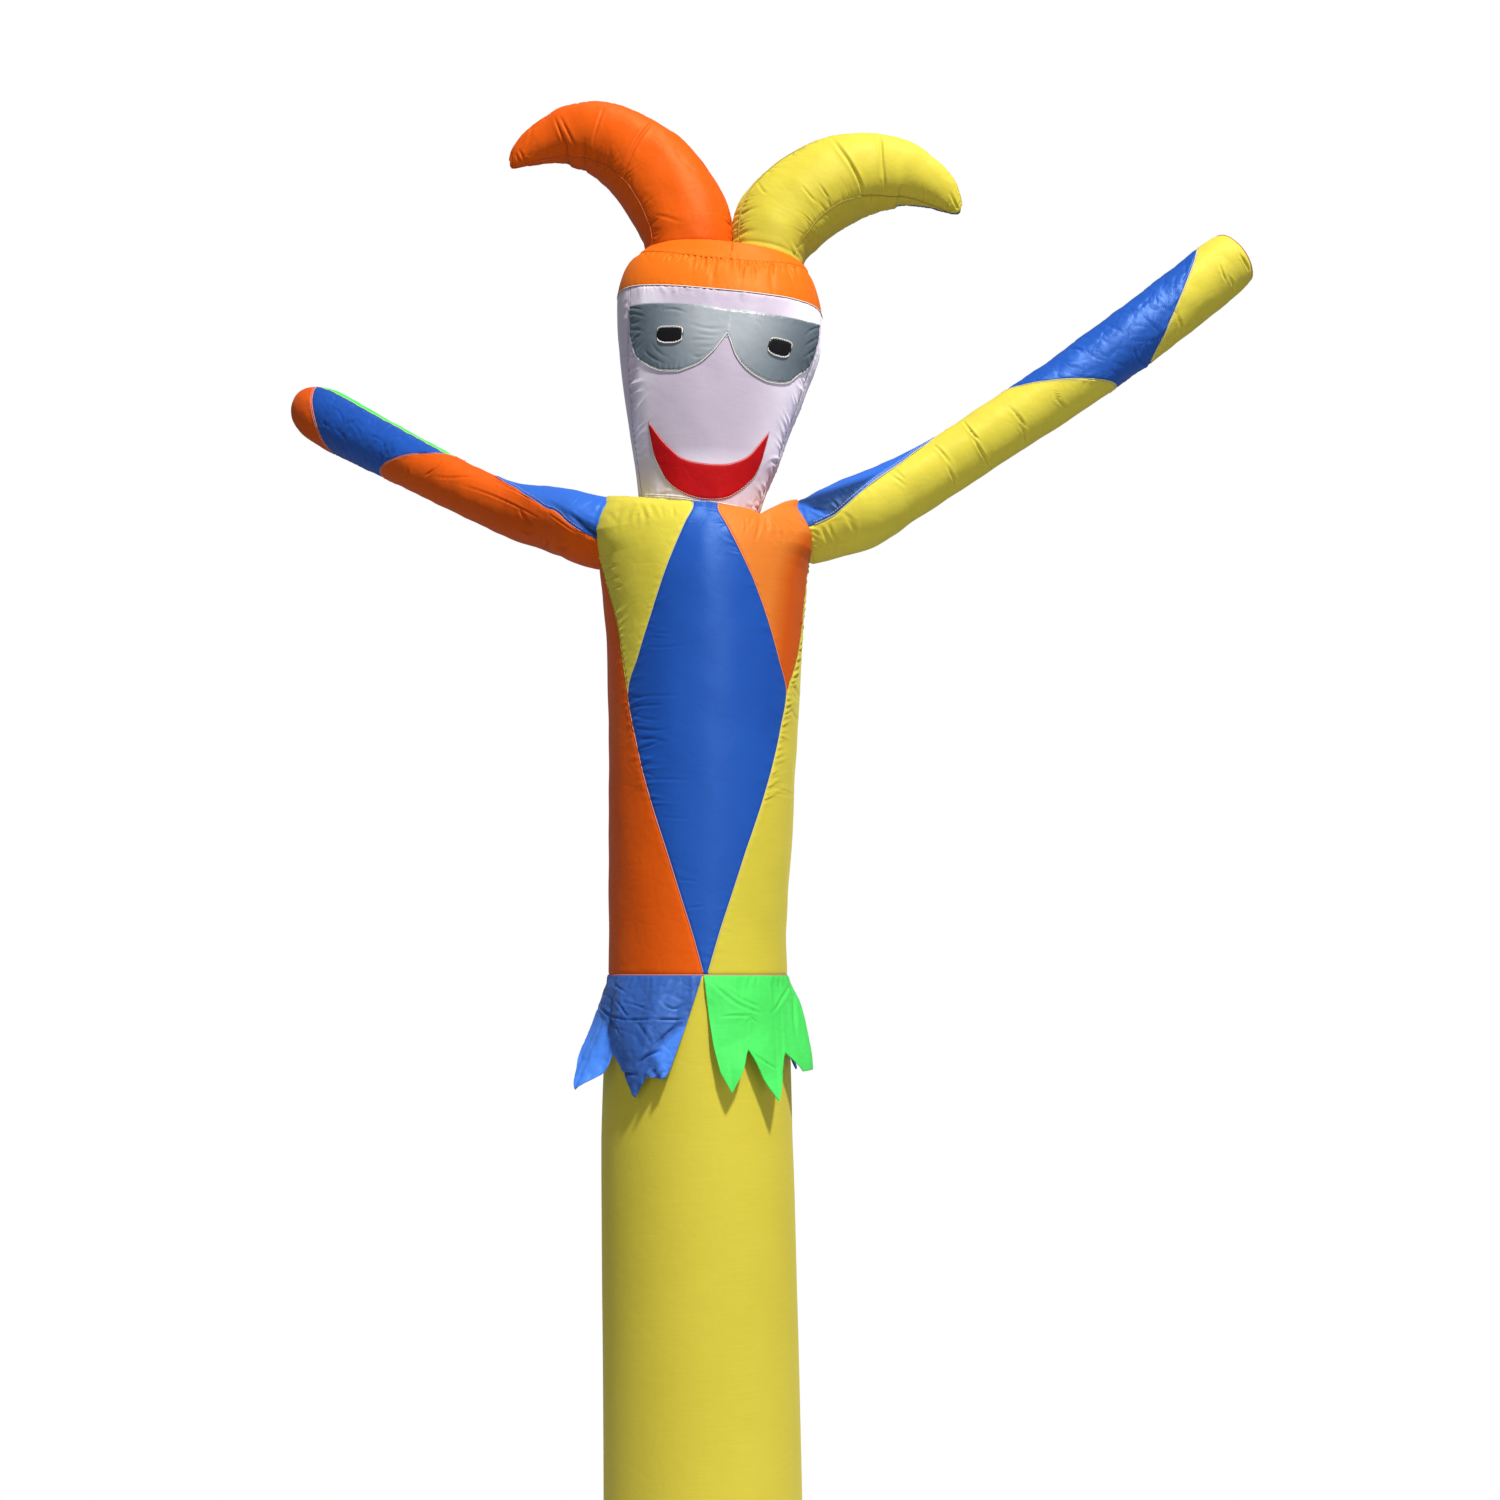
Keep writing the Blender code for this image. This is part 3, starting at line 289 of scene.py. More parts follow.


# %% The colours
# name: colour, duller colour, roughness, sheen, crumple, shine. In the finishes with painted light the
# colour is painted light (on the satin a painted reflection of the sky) and the duller colour painted
# shade; in the rest the two are the spread of uneven dye. The brighter yellow crumpled and the deeper
# orange crumpled are tones set partly as painted light and shade for the pieces that wear them.
FINISHES = {
    "yellow": ((0.545, 0.468, 0.048), (0.51, 0.435, 0.04), 0.54, 0.3, 0.05, 0.22),
    "yellow crumpled": ((0.585, 0.51, 0.056), (0.54, 0.47, 0.046), 0.54, 0.28, 0.1, 0.2),
    "orange": ((0.64, 0.13, 0.008), (0.6, 0.114, 0.006), 0.52, 0.08, 0.05, 0.24),
    "orange kite": ((0.575, 0.158, 0.021), (0.5, 0.074, 0.004), 0.52, 0.08, 0.06, 0.24),
    "orange crumpled": ((0.63, 0.09, 0.005), (0.58, 0.077, 0.004), 0.52, 0.06, 0.1, 0.24),
    "blue": ((0.011, 0.072, 0.37), (0.009, 0.06, 0.33), 0.5, 0.03, 0.05, 0.55),
    "blue crumpled": ((0.013, 0.08, 0.41), (0.009, 0.06, 0.32), 0.46, 0.06, 0.24, 0.55),
    "blue shoulder": ((0.024, 0.118, 0.54), (0.005, 0.028, 0.125), 0.48, 0.06, 0.12, 0.5),
    "blue skirt": ((0.052, 0.19, 0.7), (0.031, 0.098, 0.37), 0.5, 0.1, 0.3, 0.5),
    "green": ((0.072, 0.68, 0.125), (0.056, 0.6, 0.095), 0.54, 0.1, 0.12, 0.22),
    "white": ((0.88, 0.83, 0.97), (0.42, 0.365, 0.465), 0.5, 0.5, 0.05, 0.24),
    "satin": ((0.33, 0.365, 0.4), (0.07, 0.102, 0.132), 0.37, 0.03, 0.08, 0.4),
    "black": ((0.006, 0.006, 0.007), (0.008, 0.008, 0.009), 0.6, 0.0, 0.06, 0.12),
    "red": ((0.42, 0.005, 0.007), (0.36, 0.003, 0.005), 0.5, 0.03, 0.1, 0.24),
}
# finishes whose two colours are mixed by a painted map of light and shade on each sheet
PAINTED_LIGHT_FINISHES = ("satin", "white", "orange kite", "blue shoulder", "blue skirt")
CLOTH = {name: taffeta(name + " taffeta", *row, painted_light=name in PAINTED_LIGHT_FINISHES)
         for name, row in FINISHES.items()}
print("finishes:", len(CLOTH))

# %% [markdown]
# ## The skins under the cloth
# Air makes every part of the figure round, so each skin is a row of rings: upright for
# the leg, torso and head, and strung along a bent line for the arms and the horns. The
# tables below are close to the ones the solids were made from, with some places moved by
# millimetres to follow the real cloth, and they count from the middle of the leg's foot.
# All functions take whole arrays of places, because a sheet has thousands of points.

# %% Shape tables
FOOT = np.array([-0.048, -0.1285, 0.0])      # middle of the leg's foot
TORSO_ROWS = [  # t, z, cx, a, b, dip, tilt, n
    (1.55, 1.55, -0.018, 0.1416, 0.1416, 0, 0, 2), (1.61, 1.61, -0.0185, 0.1412, 0.1412, 0, 0, 2),
    (1.669, 1.669, -0.0174, 0.1432, 0.1432, 0, 0, 2), (1.733, 1.733, -0.0155, 0.146, 0.146, 0, 0, 2),
    (1.83, 1.83, -0.0134, 0.1492, 0.1492, 0, 0, 2), (1.928, 1.928, -0.0114, 0.153, 0.153, 0, 0, 2),
    (2.005, 2.005, -0.01, 0.1566, 0.1566, 0, 0, 2), (2.094, 2.094, -0.0095, 0.161, 0.16, 0, 0, 2),
    (2.162, 2.162, -0.011, 0.1665, 0.162, 0.002, 0, 2),
    (2.21, 2.21, -0.0122, 0.1705, 0.16, 0.006, 0.5, 2), (2.26, 2.26, -0.013, 0.172, 0.153, 0.014, 1, 2),
    (2.305, 2.304, -0.014, 0.169, 0.139, 0.024, 1, 2),
    (2.345, 2.335, -0.0145, 0.157, 0.12, 0.044, 1.1, 2),
    (2.375, 2.33, -0.0145, 0.133, 0.102, 0.034, 3.4, 2),
    (2.405, 2.32, -0.02, 0.1001, 0.086, 0.02, 5.6, 2),
]
HEAD_ROWS = [  # t, z, cx, a, b, dip, tilt, n
    (2.33, 2.3203, -0.02, 0.0999, 0.0858, 0.02, 5.6, 2),
    (2.367, 2.367, -0.0148, 0.1112, 0.095, 0.022, 5.6, 2.1),
    (2.402, 2.402, -0.0099, 0.1219, 0.103, 0.015, 5.6, 2.2),
    (2.437, 2.437, -0.0069, 0.1305, 0.11, 0.01, 5.6, 2.2),
    (2.472, 2.472, -0.0034, 0.1397, 0.116, 0.007, 5.6, 2.2),
    (2.507, 2.507, 0.0007, 0.1495, 0.121, 0.006, 5.6, 2.2),
    (2.543, 2.543, 0.0048, 0.1582, 0.125, 0.006, 5.6, 2.2),
    (2.578, 2.578, 0.0099, 0.1669, 0.1275, 0.008, 5.6, 2.2),
    (2.614, 2.614, 0.0132, 0.1732, 0.1285, 0.011, 5.6, 2.2),
    (2.65, 2.65, 0.0141, 0.1749, 0.127, 0.017, 5.6, 2.2),
    (2.676, 2.676, 0.0138, 0.173, 0.124, 0.023, 5.6, 2.2),
    (2.702, 2.702, 0.0138, 0.1675, 0.118, 0.028, 5.6, 2.2),
    (2.727, 2.727, 0.0155, 0.158, 0.108, 0.031, 5.6, 2.2),
    (2.751, 2.745, 0.0195, 0.144, 0.093, 0.027, 5.6, 2.2),
    (2.765, 2.753, 0.0212, 0.1385, 0.078, 0.004, 5.6, 2.2),
]
LEFT_ARM = [  # x, y, z, r
    (-0.14, -0.015, 2.265, 0.058), (-0.1975, 0, 2.279, 0.059), (-0.2379, 0.0297, 2.301, 0.0568),
    (-0.2812, 0.0608, 2.3206, 0.0532), (-0.3254, 0.0919, 2.3385, 0.0495),
    (-0.3688, 0.1216, 2.361, 0.046), (-0.4113, 0.15, 2.3869, 0.045), (-0.4969, 0.2054, 2.4427, 0.0464),
    (-0.5839, 0.2595, 2.501, 0.0491), (-0.6766, 0.3149, 2.5628, 0.0528), (-0.74, 0.35, 2.6052, 0.0546),
    (-0.768, 0.3665, 2.624, 0.0522), (-0.7905, 0.3795, 2.6395, 0.044), (-0.804, 0.3875, 2.6485, 0.03),
    (-0.8095, 0.3905, 2.652, 0.012),
]
RIGHT_ARM = [  # x, y, z, r
    (0.12, 0, 2.27, 0.049), (0.1697, 0, 2.2805, 0.054), (0.2063, 0, 2.2945, 0.059),
    (0.243, 0, 2.309, 0.0617), (0.2765, 0, 2.325, 0.0593), (0.3068, 0, 2.343, 0.055),
    (0.3489, 0, 2.3673, 0.0518), (0.3945, 0, 2.3951, 0.0494), (0.4829, 0, 2.4545, 0.0495),
    (0.572, 0, 2.5144, 0.0503), (0.6601, 0, 2.5782, 0.0522), (0.7472, 0, 2.6442, 0.0526),
    (0.8334, 0, 2.7126, 0.0522), (0.864, 0, 2.7382, 0.0519), (0.8825, 0, 2.7532, 0.0492),
    (0.889, 0, 2.7584, 0.0462),
]
LEFT_HORN = [  # x, y, z, a, b
    (-0.039, 0, 2.75, 0.0735, 0.06), (-0.0405, 0, 2.778, 0.0745, 0.064),
    (-0.044, 0, 2.808, 0.0765, 0.067), (-0.0527, 0, 2.8364, 0.0795, 0.067),
    (-0.074, 0, 2.8759, 0.0785, 0.066), (-0.1009, 0, 2.9144, 0.0762, 0.064),
    (-0.1395, 0, 2.9496, 0.0692, 0.06), (-0.1763, 0, 2.973, 0.0643, 0.055),
    (-0.2161, 0, 2.985, 0.0576, 0.049), (-0.2479, 0, 2.9854, 0.0504, 0.042),
    (-0.2765, 0, 2.9783, 0.0411, 0.033), (-0.3036, 0, 2.9662, 0.0325, 0.0255),
    (-0.328, 0, 2.95, 0.0225, 0.017), (-0.34, 0, 2.937, 0.013, 0.01), (-0.347, 0, 2.928, 0.004, 0.0038),
]
RIGHT_HORN = [  # x, y, z, a, b
    (0.092, 0, 2.745, 0.06, 0.06), (0.0975, 0, 2.769, 0.062, 0.064), (0.1045, 0, 2.796, 0.069, 0.067),
    (0.1165, 0, 2.824, 0.0765, 0.068), (0.1428, 0, 2.8542, 0.077, 0.068),
    (0.174, 0, 2.8789, 0.0761, 0.067), (0.2101, 0, 2.8992, 0.0746, 0.065),
    (0.2479, 0, 2.9117, 0.0699, 0.061), (0.2879, 0, 2.9168, 0.0644, 0.055),
    (0.3221, 0, 2.9151, 0.0576, 0.048), (0.3582, 0, 2.9025, 0.0453, 0.038),
    (0.3898, 0, 2.8832, 0.0345, 0.0275), (0.406, 0, 2.8669, 0.0245, 0.0195),
    (0.418, 0, 2.852, 0.014, 0.011), (0.424, 0, 2.844, 0.004, 0.0038),
]
print("rings:", sum(map(len, (TORSO_ROWS, HEAD_ROWS, LEFT_ARM, RIGHT_ARM, LEFT_HORN,
                              RIGHT_HORN))))


# %% Smooth tables
def curve(knots, rows, x):
    """Rows of values blended smoothly between knots, for an array of places x."""
    k, r = np.asarray(knots, float), np.asarray(rows, float)
    x = np.asarray(x, float)
    i = np.clip(np.searchsorted(k, x) - 1, 0, len(k) - 2)
    slope = np.diff(r, axis=0) / np.diff(k)[:, None]
    d0, d1 = slope[:-1], slope[1:]
    flat = d0 * d1 <= 0
    m = np.concatenate([slope[:1], np.where(flat, 0.0, 2 * d0 * d1 / np.where(flat, 1, d0 + d1)),
                        slope[-1:]])
    h = (k[i + 1] - k[i])[..., None]
    s = (x - k[i])[..., None] / h
    s2, s3 = s * s, s * s * s
    return ((2 * s3 - 3 * s2 + 1) * r[i] + (s3 - 2 * s2 + s) * m[i] * h
            + (-2 * s3 + 3 * s2) * r[i + 1] + (s3 - s2) * m[i + 1] * h)


def unit(x):
    """x, held between 0 and 1."""
    return np.clip(x, 0.0, 1.0)


def value(table, x):
    """A two-column table as a smooth function."""
    return curve([q[0] for q in table], [[q[1]] for q in table], x)[..., 0]


def level(v):
    """A seam rule with one value everywhere."""
    return lambda t: v + 0 * t


def run_length(p, axis):
    """How far along its row each point of a grid or a line is."""
    step = np.linalg.norm(np.diff(p, axis=axis), axis=-1)
    first = np.zeros_like(np.take(step, [0], axis))
    return np.concatenate([first, np.cumsum(step, axis)], axis)


def oval(theta, n):
    """Point of a unit rounded square: (across, towards the front)."""
    s, c = np.sin(np.radians(theta)), np.cos(np.radians(theta))
    e = 2.0 / n
    return np.copysign(np.abs(s) ** e, s), np.copysign(np.abs(c) ** e, c)


# %% Upright skins
# the head leans, and pulls the front of the neck down under its right cheek
NECK_PULL = [(-0.04, 0.0), (0.000, 0.003), (0.04, 0.007), (0.066, 0.013), (0.082, 0.0215),
             (0.096, 0.013), (0.12, 0.004), (0.138, 0.0)]

# the torso swells round the roots of the arms
SWELL = [  # t, left, right
    (2.165, 0.0, 0.0), (2.2, 0.001, 0.002), (2.218, 0.002, 0.006), (2.238, 0.009, 0.014),
    (2.262, 0.0145, 0.0165), (2.283, 0.012, 0.012), (2.3, 0.008, 0.005),
    (2.318, 0.002, -0.002), (2.335, 0.0, 0.0),
]


class Body:
    """Rings one above the other; theta 0 is the front, +90 the +X side."""

    def __init__(self, rows, bend, low_from, low_full):
        self.low_from, self.low_full = low_from, low_full
        self.t = [r[0] for r in rows]
        self.rows = [r[1:] for r in rows]
        self.bend = bend

    def point(self, t, theta):
        z, cx, a, b, dip, tilt, n = np.moveaxis(curve(self.t, self.rows, t), -1, 0)
        s, k = oval(theta, n)
        ct, st = np.cos(np.radians(tilt)), np.sin(np.radians(tilt))
        power = np.interp(t, [q[0] for q in self.bend], [q[1] for q in self.bend])
        sag = dip * np.abs(np.cos(np.radians(theta))) ** power
        x = cx + a * s * ct
        near = unit((t - self.low_from) / (self.low_full - self.low_from))
        pull = np.interp(x, [q[0] for q in NECK_PULL], [q[1] for q in NECK_PULL])
        pull = pull * near * near * (3 - 2 * near) * unit(0.3 + 8.0 * k * b)
        swell = [np.interp(t, [q[0] for q in SWELL], [q[c] for q in SWELL]) for c in (1, 2)]
        out = unit((np.abs(s) - 0.55) / 0.35)
        out = out * out * (3 - 2 * out) * (0.35 + 0.65 * unit(k / 0.35))
        x = x + np.sign(s) * np.where(s < 0, *swell) * out
        return np.stack([x, -b * k, z - a * s * st - sag - pull], -1)


# %% Skins round a bent line
class Pipe:
    """Rings along a centre line; theta 0 is the front (-Y)."""

    def __init__(self, rows, round_n=2.0):
        p = np.array([r[:3] for r in rows], float)
        self.t = run_length(p, 0)
        self.rows = [tuple(r) if len(r) == 5 else tuple(r) + (r[3],) for r in rows]
        self.length = float(self.t[-1])
        self.n = round_n

    def centre(self, t):
        return curve(self.t, self.rows, np.clip(t, 0.0, self.length))

    def frame(self, t):
        e = 0.004
        p = self.centre(np.asarray(t) + e)[..., :3] - self.centre(np.asarray(t) - e)[..., :3]
        along = p / np.linalg.norm(p, axis=-1, keepdims=True)
        front = np.array([0.0, -1.0, 0.0]) + along[..., 1:2] * along
        front = front / np.linalg.norm(front, axis=-1, keepdims=True)
        return along, front, np.cross(along, front)

    def point(self, t, theta):
        t = np.asarray(t, float)
        c = self.centre(t)
        along, front, side = self.frame(np.maximum(t, 0.0))
        s, k = oval(theta, self.n)
        beyond = np.minimum(t, 0.0)[..., None] * along
        return (c[..., :3] + beyond + side * (c[..., 3] * s)[..., None]
                + front * (c[..., 4] * k)[..., None])


# %% Top of the cap
class Lid:
    """The head's last rings, then a low lid out to its middle."""
    FOLD = 2.765
    MID_X = 0.035

    def point(self, t, theta):
        t = np.asarray(t, float)
        k = 1.0 - unit((t - self.FOLD) / 0.13)
        z, cx, a, b, dip, tilt, n = HEAD_ROWS[-1][1:]
        s, f = oval(theta, n)
        st, ct = math.sin(math.radians(tilt)), math.cos(math.radians(tilt))
        x = self.MID_X + (cx + a * s * ct - self.MID_X) * k
        top = np.stack([x, -b * f * k, z - (x - cx) * st + 0.01 * (1.0 - k * k)], -1)
        side = HEAD.point(np.minimum(t, self.FOLD), theta)
        return np.where((t <= self.FOLD)[..., None], side, top)


TORSO = Body(TORSO_ROWS, ((2.2, 2.0), (2.33, 1.2)), 2.2, 2.33)
HEAD = Body(HEAD_ROWS, ((2.33, 1.2), (2.42, 2.0)), 2.42, 2.335)
LID = Lid()
ARM_L, ARM_R = Pipe(LEFT_ARM), Pipe(RIGHT_ARM)
HORN_L, HORN_R = Pipe(LEFT_HORN, 2.2), Pipe(RIGHT_HORN, 2.2)


# %% Where a sleeve meets another skin
def look_at(skin, t, theta):
    """Points, outward normals, and metres for each step of t and of theta."""
    dt, da = 0.0015, 1.2
    v = skin.point(t + dt, theta) - skin.point(t - dt, theta)
    u = skin.point(t, theta + da) - skin.point(t, theta - da)
    n = np.cross(u, v)
    n /= np.maximum(np.linalg.norm(n, axis=-1, keepdims=True), 1e-12)
    return (skin.point(t, theta), n, np.linalg.norm(v, axis=-1) / (2 * dt),
            np.linalg.norm(u, axis=-1) / (2 * da))


def roots(pipe, theta, skin, guess, start=0.03):
    """For each column theta of a pipe, how far along it the skin is met."""
    theta = np.asarray(theta, float)
    x = np.stack([np.full_like(theta, start), *guess(pipe.point(np.full_like(theta, start),
                                                                theta))], -1)
    small, most = (1e-4, 1e-4, 0.05), (0.02, 0.02, 12.0)
    for _ in range(40):
        def miss(q):
            return pipe.point(q[:, 0], theta) - skin.point(q[:, 1], q[:, 2])
        now = miss(x)
        jac = np.empty((len(theta), 3, 3))
        for k in range(3):
            step = x.copy()
            step[:, k] += small[k]
            jac[:, :, k] = (miss(step) - now) / small[k]
        jac += np.eye(3) * 1e-9
        move = np.stack([np.linalg.lstsq(j, -r, rcond=None)[0] for j, r in zip(jac, now)])
        x += np.clip(move, -np.array(most), np.array(most))
        if np.abs(now).max() < 1e-7:
            break
    return x[:, 0]

# %% [markdown]
# ## Puckers and creases
# Two things mark sewn cloth under pressure. Along each seam the thread gathers the cloth,
# and short ridges run in from it, no two alike. And where the cloth was folded or bends,
# single creases stay: soft troughs with a low shoulder on each side. Puckers are made by
# rule from a pitch, a reach and a height. Creases are placed one by one. Their places
# are read as the eye sees them on a flat sheet held up just in front of the figure.

# %% Puckers
SIGHT_Y = -0.14        # the flat sheet that crease places are read on
EYE_LEG = np.array(EYE) - FOOT


def gathers(along, away, start, end, pitch, reach, height, slant, rng):
    """Height of the short ridges that run in from a seam between two places."""
    out = np.zeros_like(along)
    s = start
    while s < end:
        tall, far = height * rng.uniform(0.3, 1.0), reach * rng.uniform(0.35, 1.1)
        wide, lean = pitch * rng.uniform(0.14, 0.25), slant + rng.uniform(-0.35, 0.35)
        x = (along - s - lean * away) / (wide * (1.0 + 0.6 * away / far))
        near = (np.abs(x) < 2.6) & (away < 2.2 * far) & (away >= 0)
        xn, an = x[near], away[near]
        out[near] += tall * np.exp(-xn * xn - (an / far) ** 2) * np.minimum(1.0, an / 0.004)
        s += pitch * rng.uniform(0.55, 1.5)
    return out


# %% Creases
def seen(p):
    """Where the eye sees points, on the flat sheet in front of the figure."""
    k = (SIGHT_Y - EYE_LEG[1]) / (p[..., 1] - EYE_LEG[1])
    return (EYE_LEG[0] + (p[..., 0] - EYE_LEG[0]) * k, EYE_LEG[2] + (p[..., 2] - EYE_LEG[2]) * k)


def crisp(table, narrow=0.72, deep=1.35):
    """The same creases, sharper."""
    return [(*r[:6], r[6] * narrow, r[7] * deep) for r in table]


def creases(p, front, table):
    """Height of soft troughs through three points each. One unit of width or of depth
    is about 0.8 mm."""
    x, z = seen(p)
    out = np.zeros_like(x)
    for *places, width, depth in table:
        x0, z0, x1, z1, x2, z2 = (q / 1000.0 for q in places)
        w = width * 0.0008
        box = ((x > min(x0, x1, x2) - 4 * w) & (x < max(x0, x1, x2) + 4 * w)
               & (z > min(z0, z1, z2) - 4 * w) & (z < max(z0, z1, z2) + 4 * w) & front)
        if not box.any():
            continue
        u = np.linspace(0.0, 1.0, 17)[:, None]
        line = ((1 - u) ** 2 * [x0, z0] + 2 * u * (1 - u) * (2 * np.array([x1, z1])
                - 0.5 * np.array([x0 + x2, z0 + z2])) + u ** 2 * [x2, z2])
        q = np.stack([x[box], z[box]], -1)
        best, at = np.full(len(q), 1e9), np.zeros(len(q))
        for i in range(16):
            a, d = line[i], line[i + 1] - line[i]
            f = unit(((q - a) @ d) / (d @ d))
            gap = np.linalg.norm(q - a - f[:, None] * d, axis=1)
            closer = gap < best
            best[closer], at[closer] = gap[closer], (i + f[closer]) / 16.0
        fade = np.sin(np.pi * np.clip(at, 0.03, 0.97)) ** 0.6
        r = best / w
        out[box] -= depth * 0.0015 * fade * (np.exp(-r * r) - 0.45 * np.exp(-(r / 2.3) ** 2))
    return out


# %% Uneven cloth
def waves(p, size, seed, count=22):
    """Smooth uneven field from -1 to 1 that runs on across seams."""
    rng = np.random.default_rng(seed)
    way = rng.normal(size=(count, 3))
    way /= np.linalg.norm(way, axis=1)[:, None]
    way *= (2 * np.pi / size) * rng.uniform(0.6, 1.6, count)[:, None]
    phase = rng.uniform(0, 2 * np.pi, count)
    out = np.zeros(p.shape[:-1])
    for k in range(count):
        out += np.sin(p @ way[k] + phase[k])
    return out / (0.5 * count) ** 0.5 / 1.8


def crumpled(p, size, seed):
    """Little sharp valleys between soft facets, about 0 on average."""
    a = np.abs(waves(p, size, seed)) + 0.6 * np.abs(waves(p, size * 0.55, seed + 1))
    return np.minimum(a, 0.9) - 0.55


# %% [markdown]
# ## One sheet
# Every cloth panel is made the same way: a grid of places on its skin, packed closer
# near the edges where the puckers are, raised by its gathers and creases, and pulled in
# along its seams by the thread. A second layer behind it and a narrow wall round the
# edge make it a closed sheet a little over a millimetre thick. The flat size that a
# maker would cut is measured on the skin before any pucker is added.

# %% Grids
THICK = 0.0012
SEAM_DIP, SEAM_WIDE = 0.001, 0.003


def packed(count, ends=0.55):
    u = np.linspace(0.0, 1.0, count)
    return u - ends * np.sin(2 * np.pi * u) / (2 * np.pi)


def strip(t0, t1, left, right, rows, cols, ends=0.55):
    """Places between two edges that change with t."""
    t = np.linspace(t0, t1, rows)[:, None] * np.ones((1, cols))
    lo, hi = left(t[:, :1]), right(t[:, :1])
    return t, lo + (hi - lo) * packed(cols, ends)[None, :]


def grid_faces(rows, cols, ring):
    i, j = np.meshgrid(np.arange(rows - 1), np.arange(cols if ring else cols - 1), indexing="ij")
    k = (j + 1) % cols
    return np.stack([i * cols + j, i * cols + k, (i + 1) * cols + k, (i + 1) * cols + j],
                    -1).reshape(-1, 4)


# %% Closed sheet from a grid
def make_mesh(name, verts, faces, flat_from, uv, material):
    me = bpy.data.meshes.new(name)
    me.from_pydata([tuple(v) for v in verts], [], faces)
    me.update()
    smooth = np.ones(len(me.polygons), bool)
    smooth[flat_from:] = False
    me.polygons.foreach_set("use_smooth", smooth)
    layer = me.uv_layers.new(name="UVMap")
    at = np.empty(len(me.loops), int)
    me.loops.foreach_get("vertex_index", at)
    layer.data.foreach_set("uv", uv[at].astype(np.float32).ravel())
    me.materials.append(material)
    return shown(bpy.data.objects.new(name, me))


def lowest(h, reach, ring):
    """The lowest height within a few steps of each place."""
    side = "wrap" if ring else "edge"
    wide = np.pad(np.pad(h, ((reach, reach), (0, 0)), mode="edge"),
                  ((0, 0), (reach, reach)), mode=side)
    rows, cols = h.shape
    return np.min([wide[i:i + rows, j:j + cols] for i in range(2 * reach + 1)
                   for j in range(2 * reach + 1)], axis=0)


def close_sheet(name, base, normals, h, uv, material, ring=False, pole=None, thick=THICK,
                step=3):
    """base is a grid of points and h their heights; pole closes the last row. The layer
    behind has only every few points, since it isn't seen."""
    rows, cols = h.shape
    top = (base + normals * h[..., None]).reshape(-1, 3)
    some_rows = np.unique(np.linspace(0, rows - 1, max(3, (rows - 1) // step + 1)).round()
                          .astype(int))
    some_cols = np.unique(np.linspace(0, cols - (0 if ring else 1), max(4, cols // step))
                          .round().astype(int))
    if ring:
        some_cols = some_cols[:-1]
    low = lowest(h, step - 1, ring) - thick
    back = (base + normals * low[..., None])[np.ix_(some_rows, some_cols)].reshape(-1, 3)
    flat_uv = uv.reshape(-1, 2)
    back_uv = uv[np.ix_(some_rows, some_cols)].reshape(-1, 2)
    faces = [tuple(f) for f in grid_faces(rows, cols, ring)]
    nr, nc = len(some_rows), len(some_cols)
    first = len(top) + (pole is not None)
    behind = [tuple(first + v for v in f[::-1]) for f in grid_faces(nr, nc, ring)]
    if pole is not None:
        last = (rows - 1) * cols
        faces += [(last + j, last + (j + 1) % cols, len(top)) for j in range(cols)]
        top = np.vstack([top, pole[0]])
        flat_uv = np.vstack([flat_uv, flat_uv[-cols:].mean(0)])
        last = first + (nr - 1) * nc
        tip = first + nr * nc
        behind += [(tip, last + (j + 1) % nc, last + j) for j in range(nc)]
        back = np.vstack([back, pole[1]])
        back_uv = np.vstack([back_uv, back_uv[-nc:].mean(0)])

    outer = np.arange(rows * cols).reshape(rows, cols)
    inner = first + np.arange(nr * nc).reshape(nr, nc)
    if ring:
        outer, inner = (np.hstack([q, q[:, :1]]) for q in (outer, inner))
        some_cols = np.append(some_cols, cols)
    wall = []

    def close_edge(far, near, marks):
        """far runs along every point in front, near along the few behind marks."""
        for k, (a, b) in enumerate(zip(marks[:-1], marks[1:])):
            wall.extend((far[m + 1], far[m], near[k]) for m in range(a, b))
            wall.append((near[k + 1], far[b], near[k]))

    close_edge(outer[0], inner[0], some_cols)
    if pole is None:
        close_edge(outer[-1, ::-1], inner[-1, ::-1], some_cols[-1] - some_cols[::-1])
    if not ring:
        close_edge(outer[:, -1], inner[:, -1], some_rows)
        close_edge(outer[::-1, 0], inner[::-1, 0], some_rows[-1] - some_rows[::-1])
    f0 = np.array([f[:3] for f in faces])
    turn = np.cross(top[f0[:, 1]] - top[f0[:, 0]], top[f0[:, 2]] - top[f0[:, 0]])
    outward = np.sum(turn[:(rows - 1)] * normals.reshape(-1, 3)[f0[:(rows - 1), 0]], -1).sum()
    every = faces + behind + wall
    if outward < 0:
        every = [f[::-1] for f in every]
    return make_mesh(name, np.vstack([top, back]) + FOOT, every, len(faces) + len(behind),
                     np.vstack([flat_uv, back_uv]), material)


# %% Cut sizes
CUTS = {}


def area_of(p, ring=False):
    rows, cols = p.shape[:2]
    f = grid_faces(rows, cols, ring)
    v = p.reshape(-1, 3)
    one = np.cross(v[f[:, 1]] - v[f[:, 0]], v[f[:, 2]] - v[f[:, 0]])
    two = np.cross(v[f[:, 2]] - v[f[:, 0]], v[f[:, 3]] - v[f[:, 0]])
    return float((np.linalg.norm(one, axis=1) + np.linalg.norm(two, axis=1)).sum() / 2)


def across(p, ring):
    step = np.linalg.norm(np.diff(p, axis=1), axis=-1).sum(1)
    if ring:
        step = step + np.linalg.norm(p[:, 0] - p[:, -1], axis=-1)
    return step


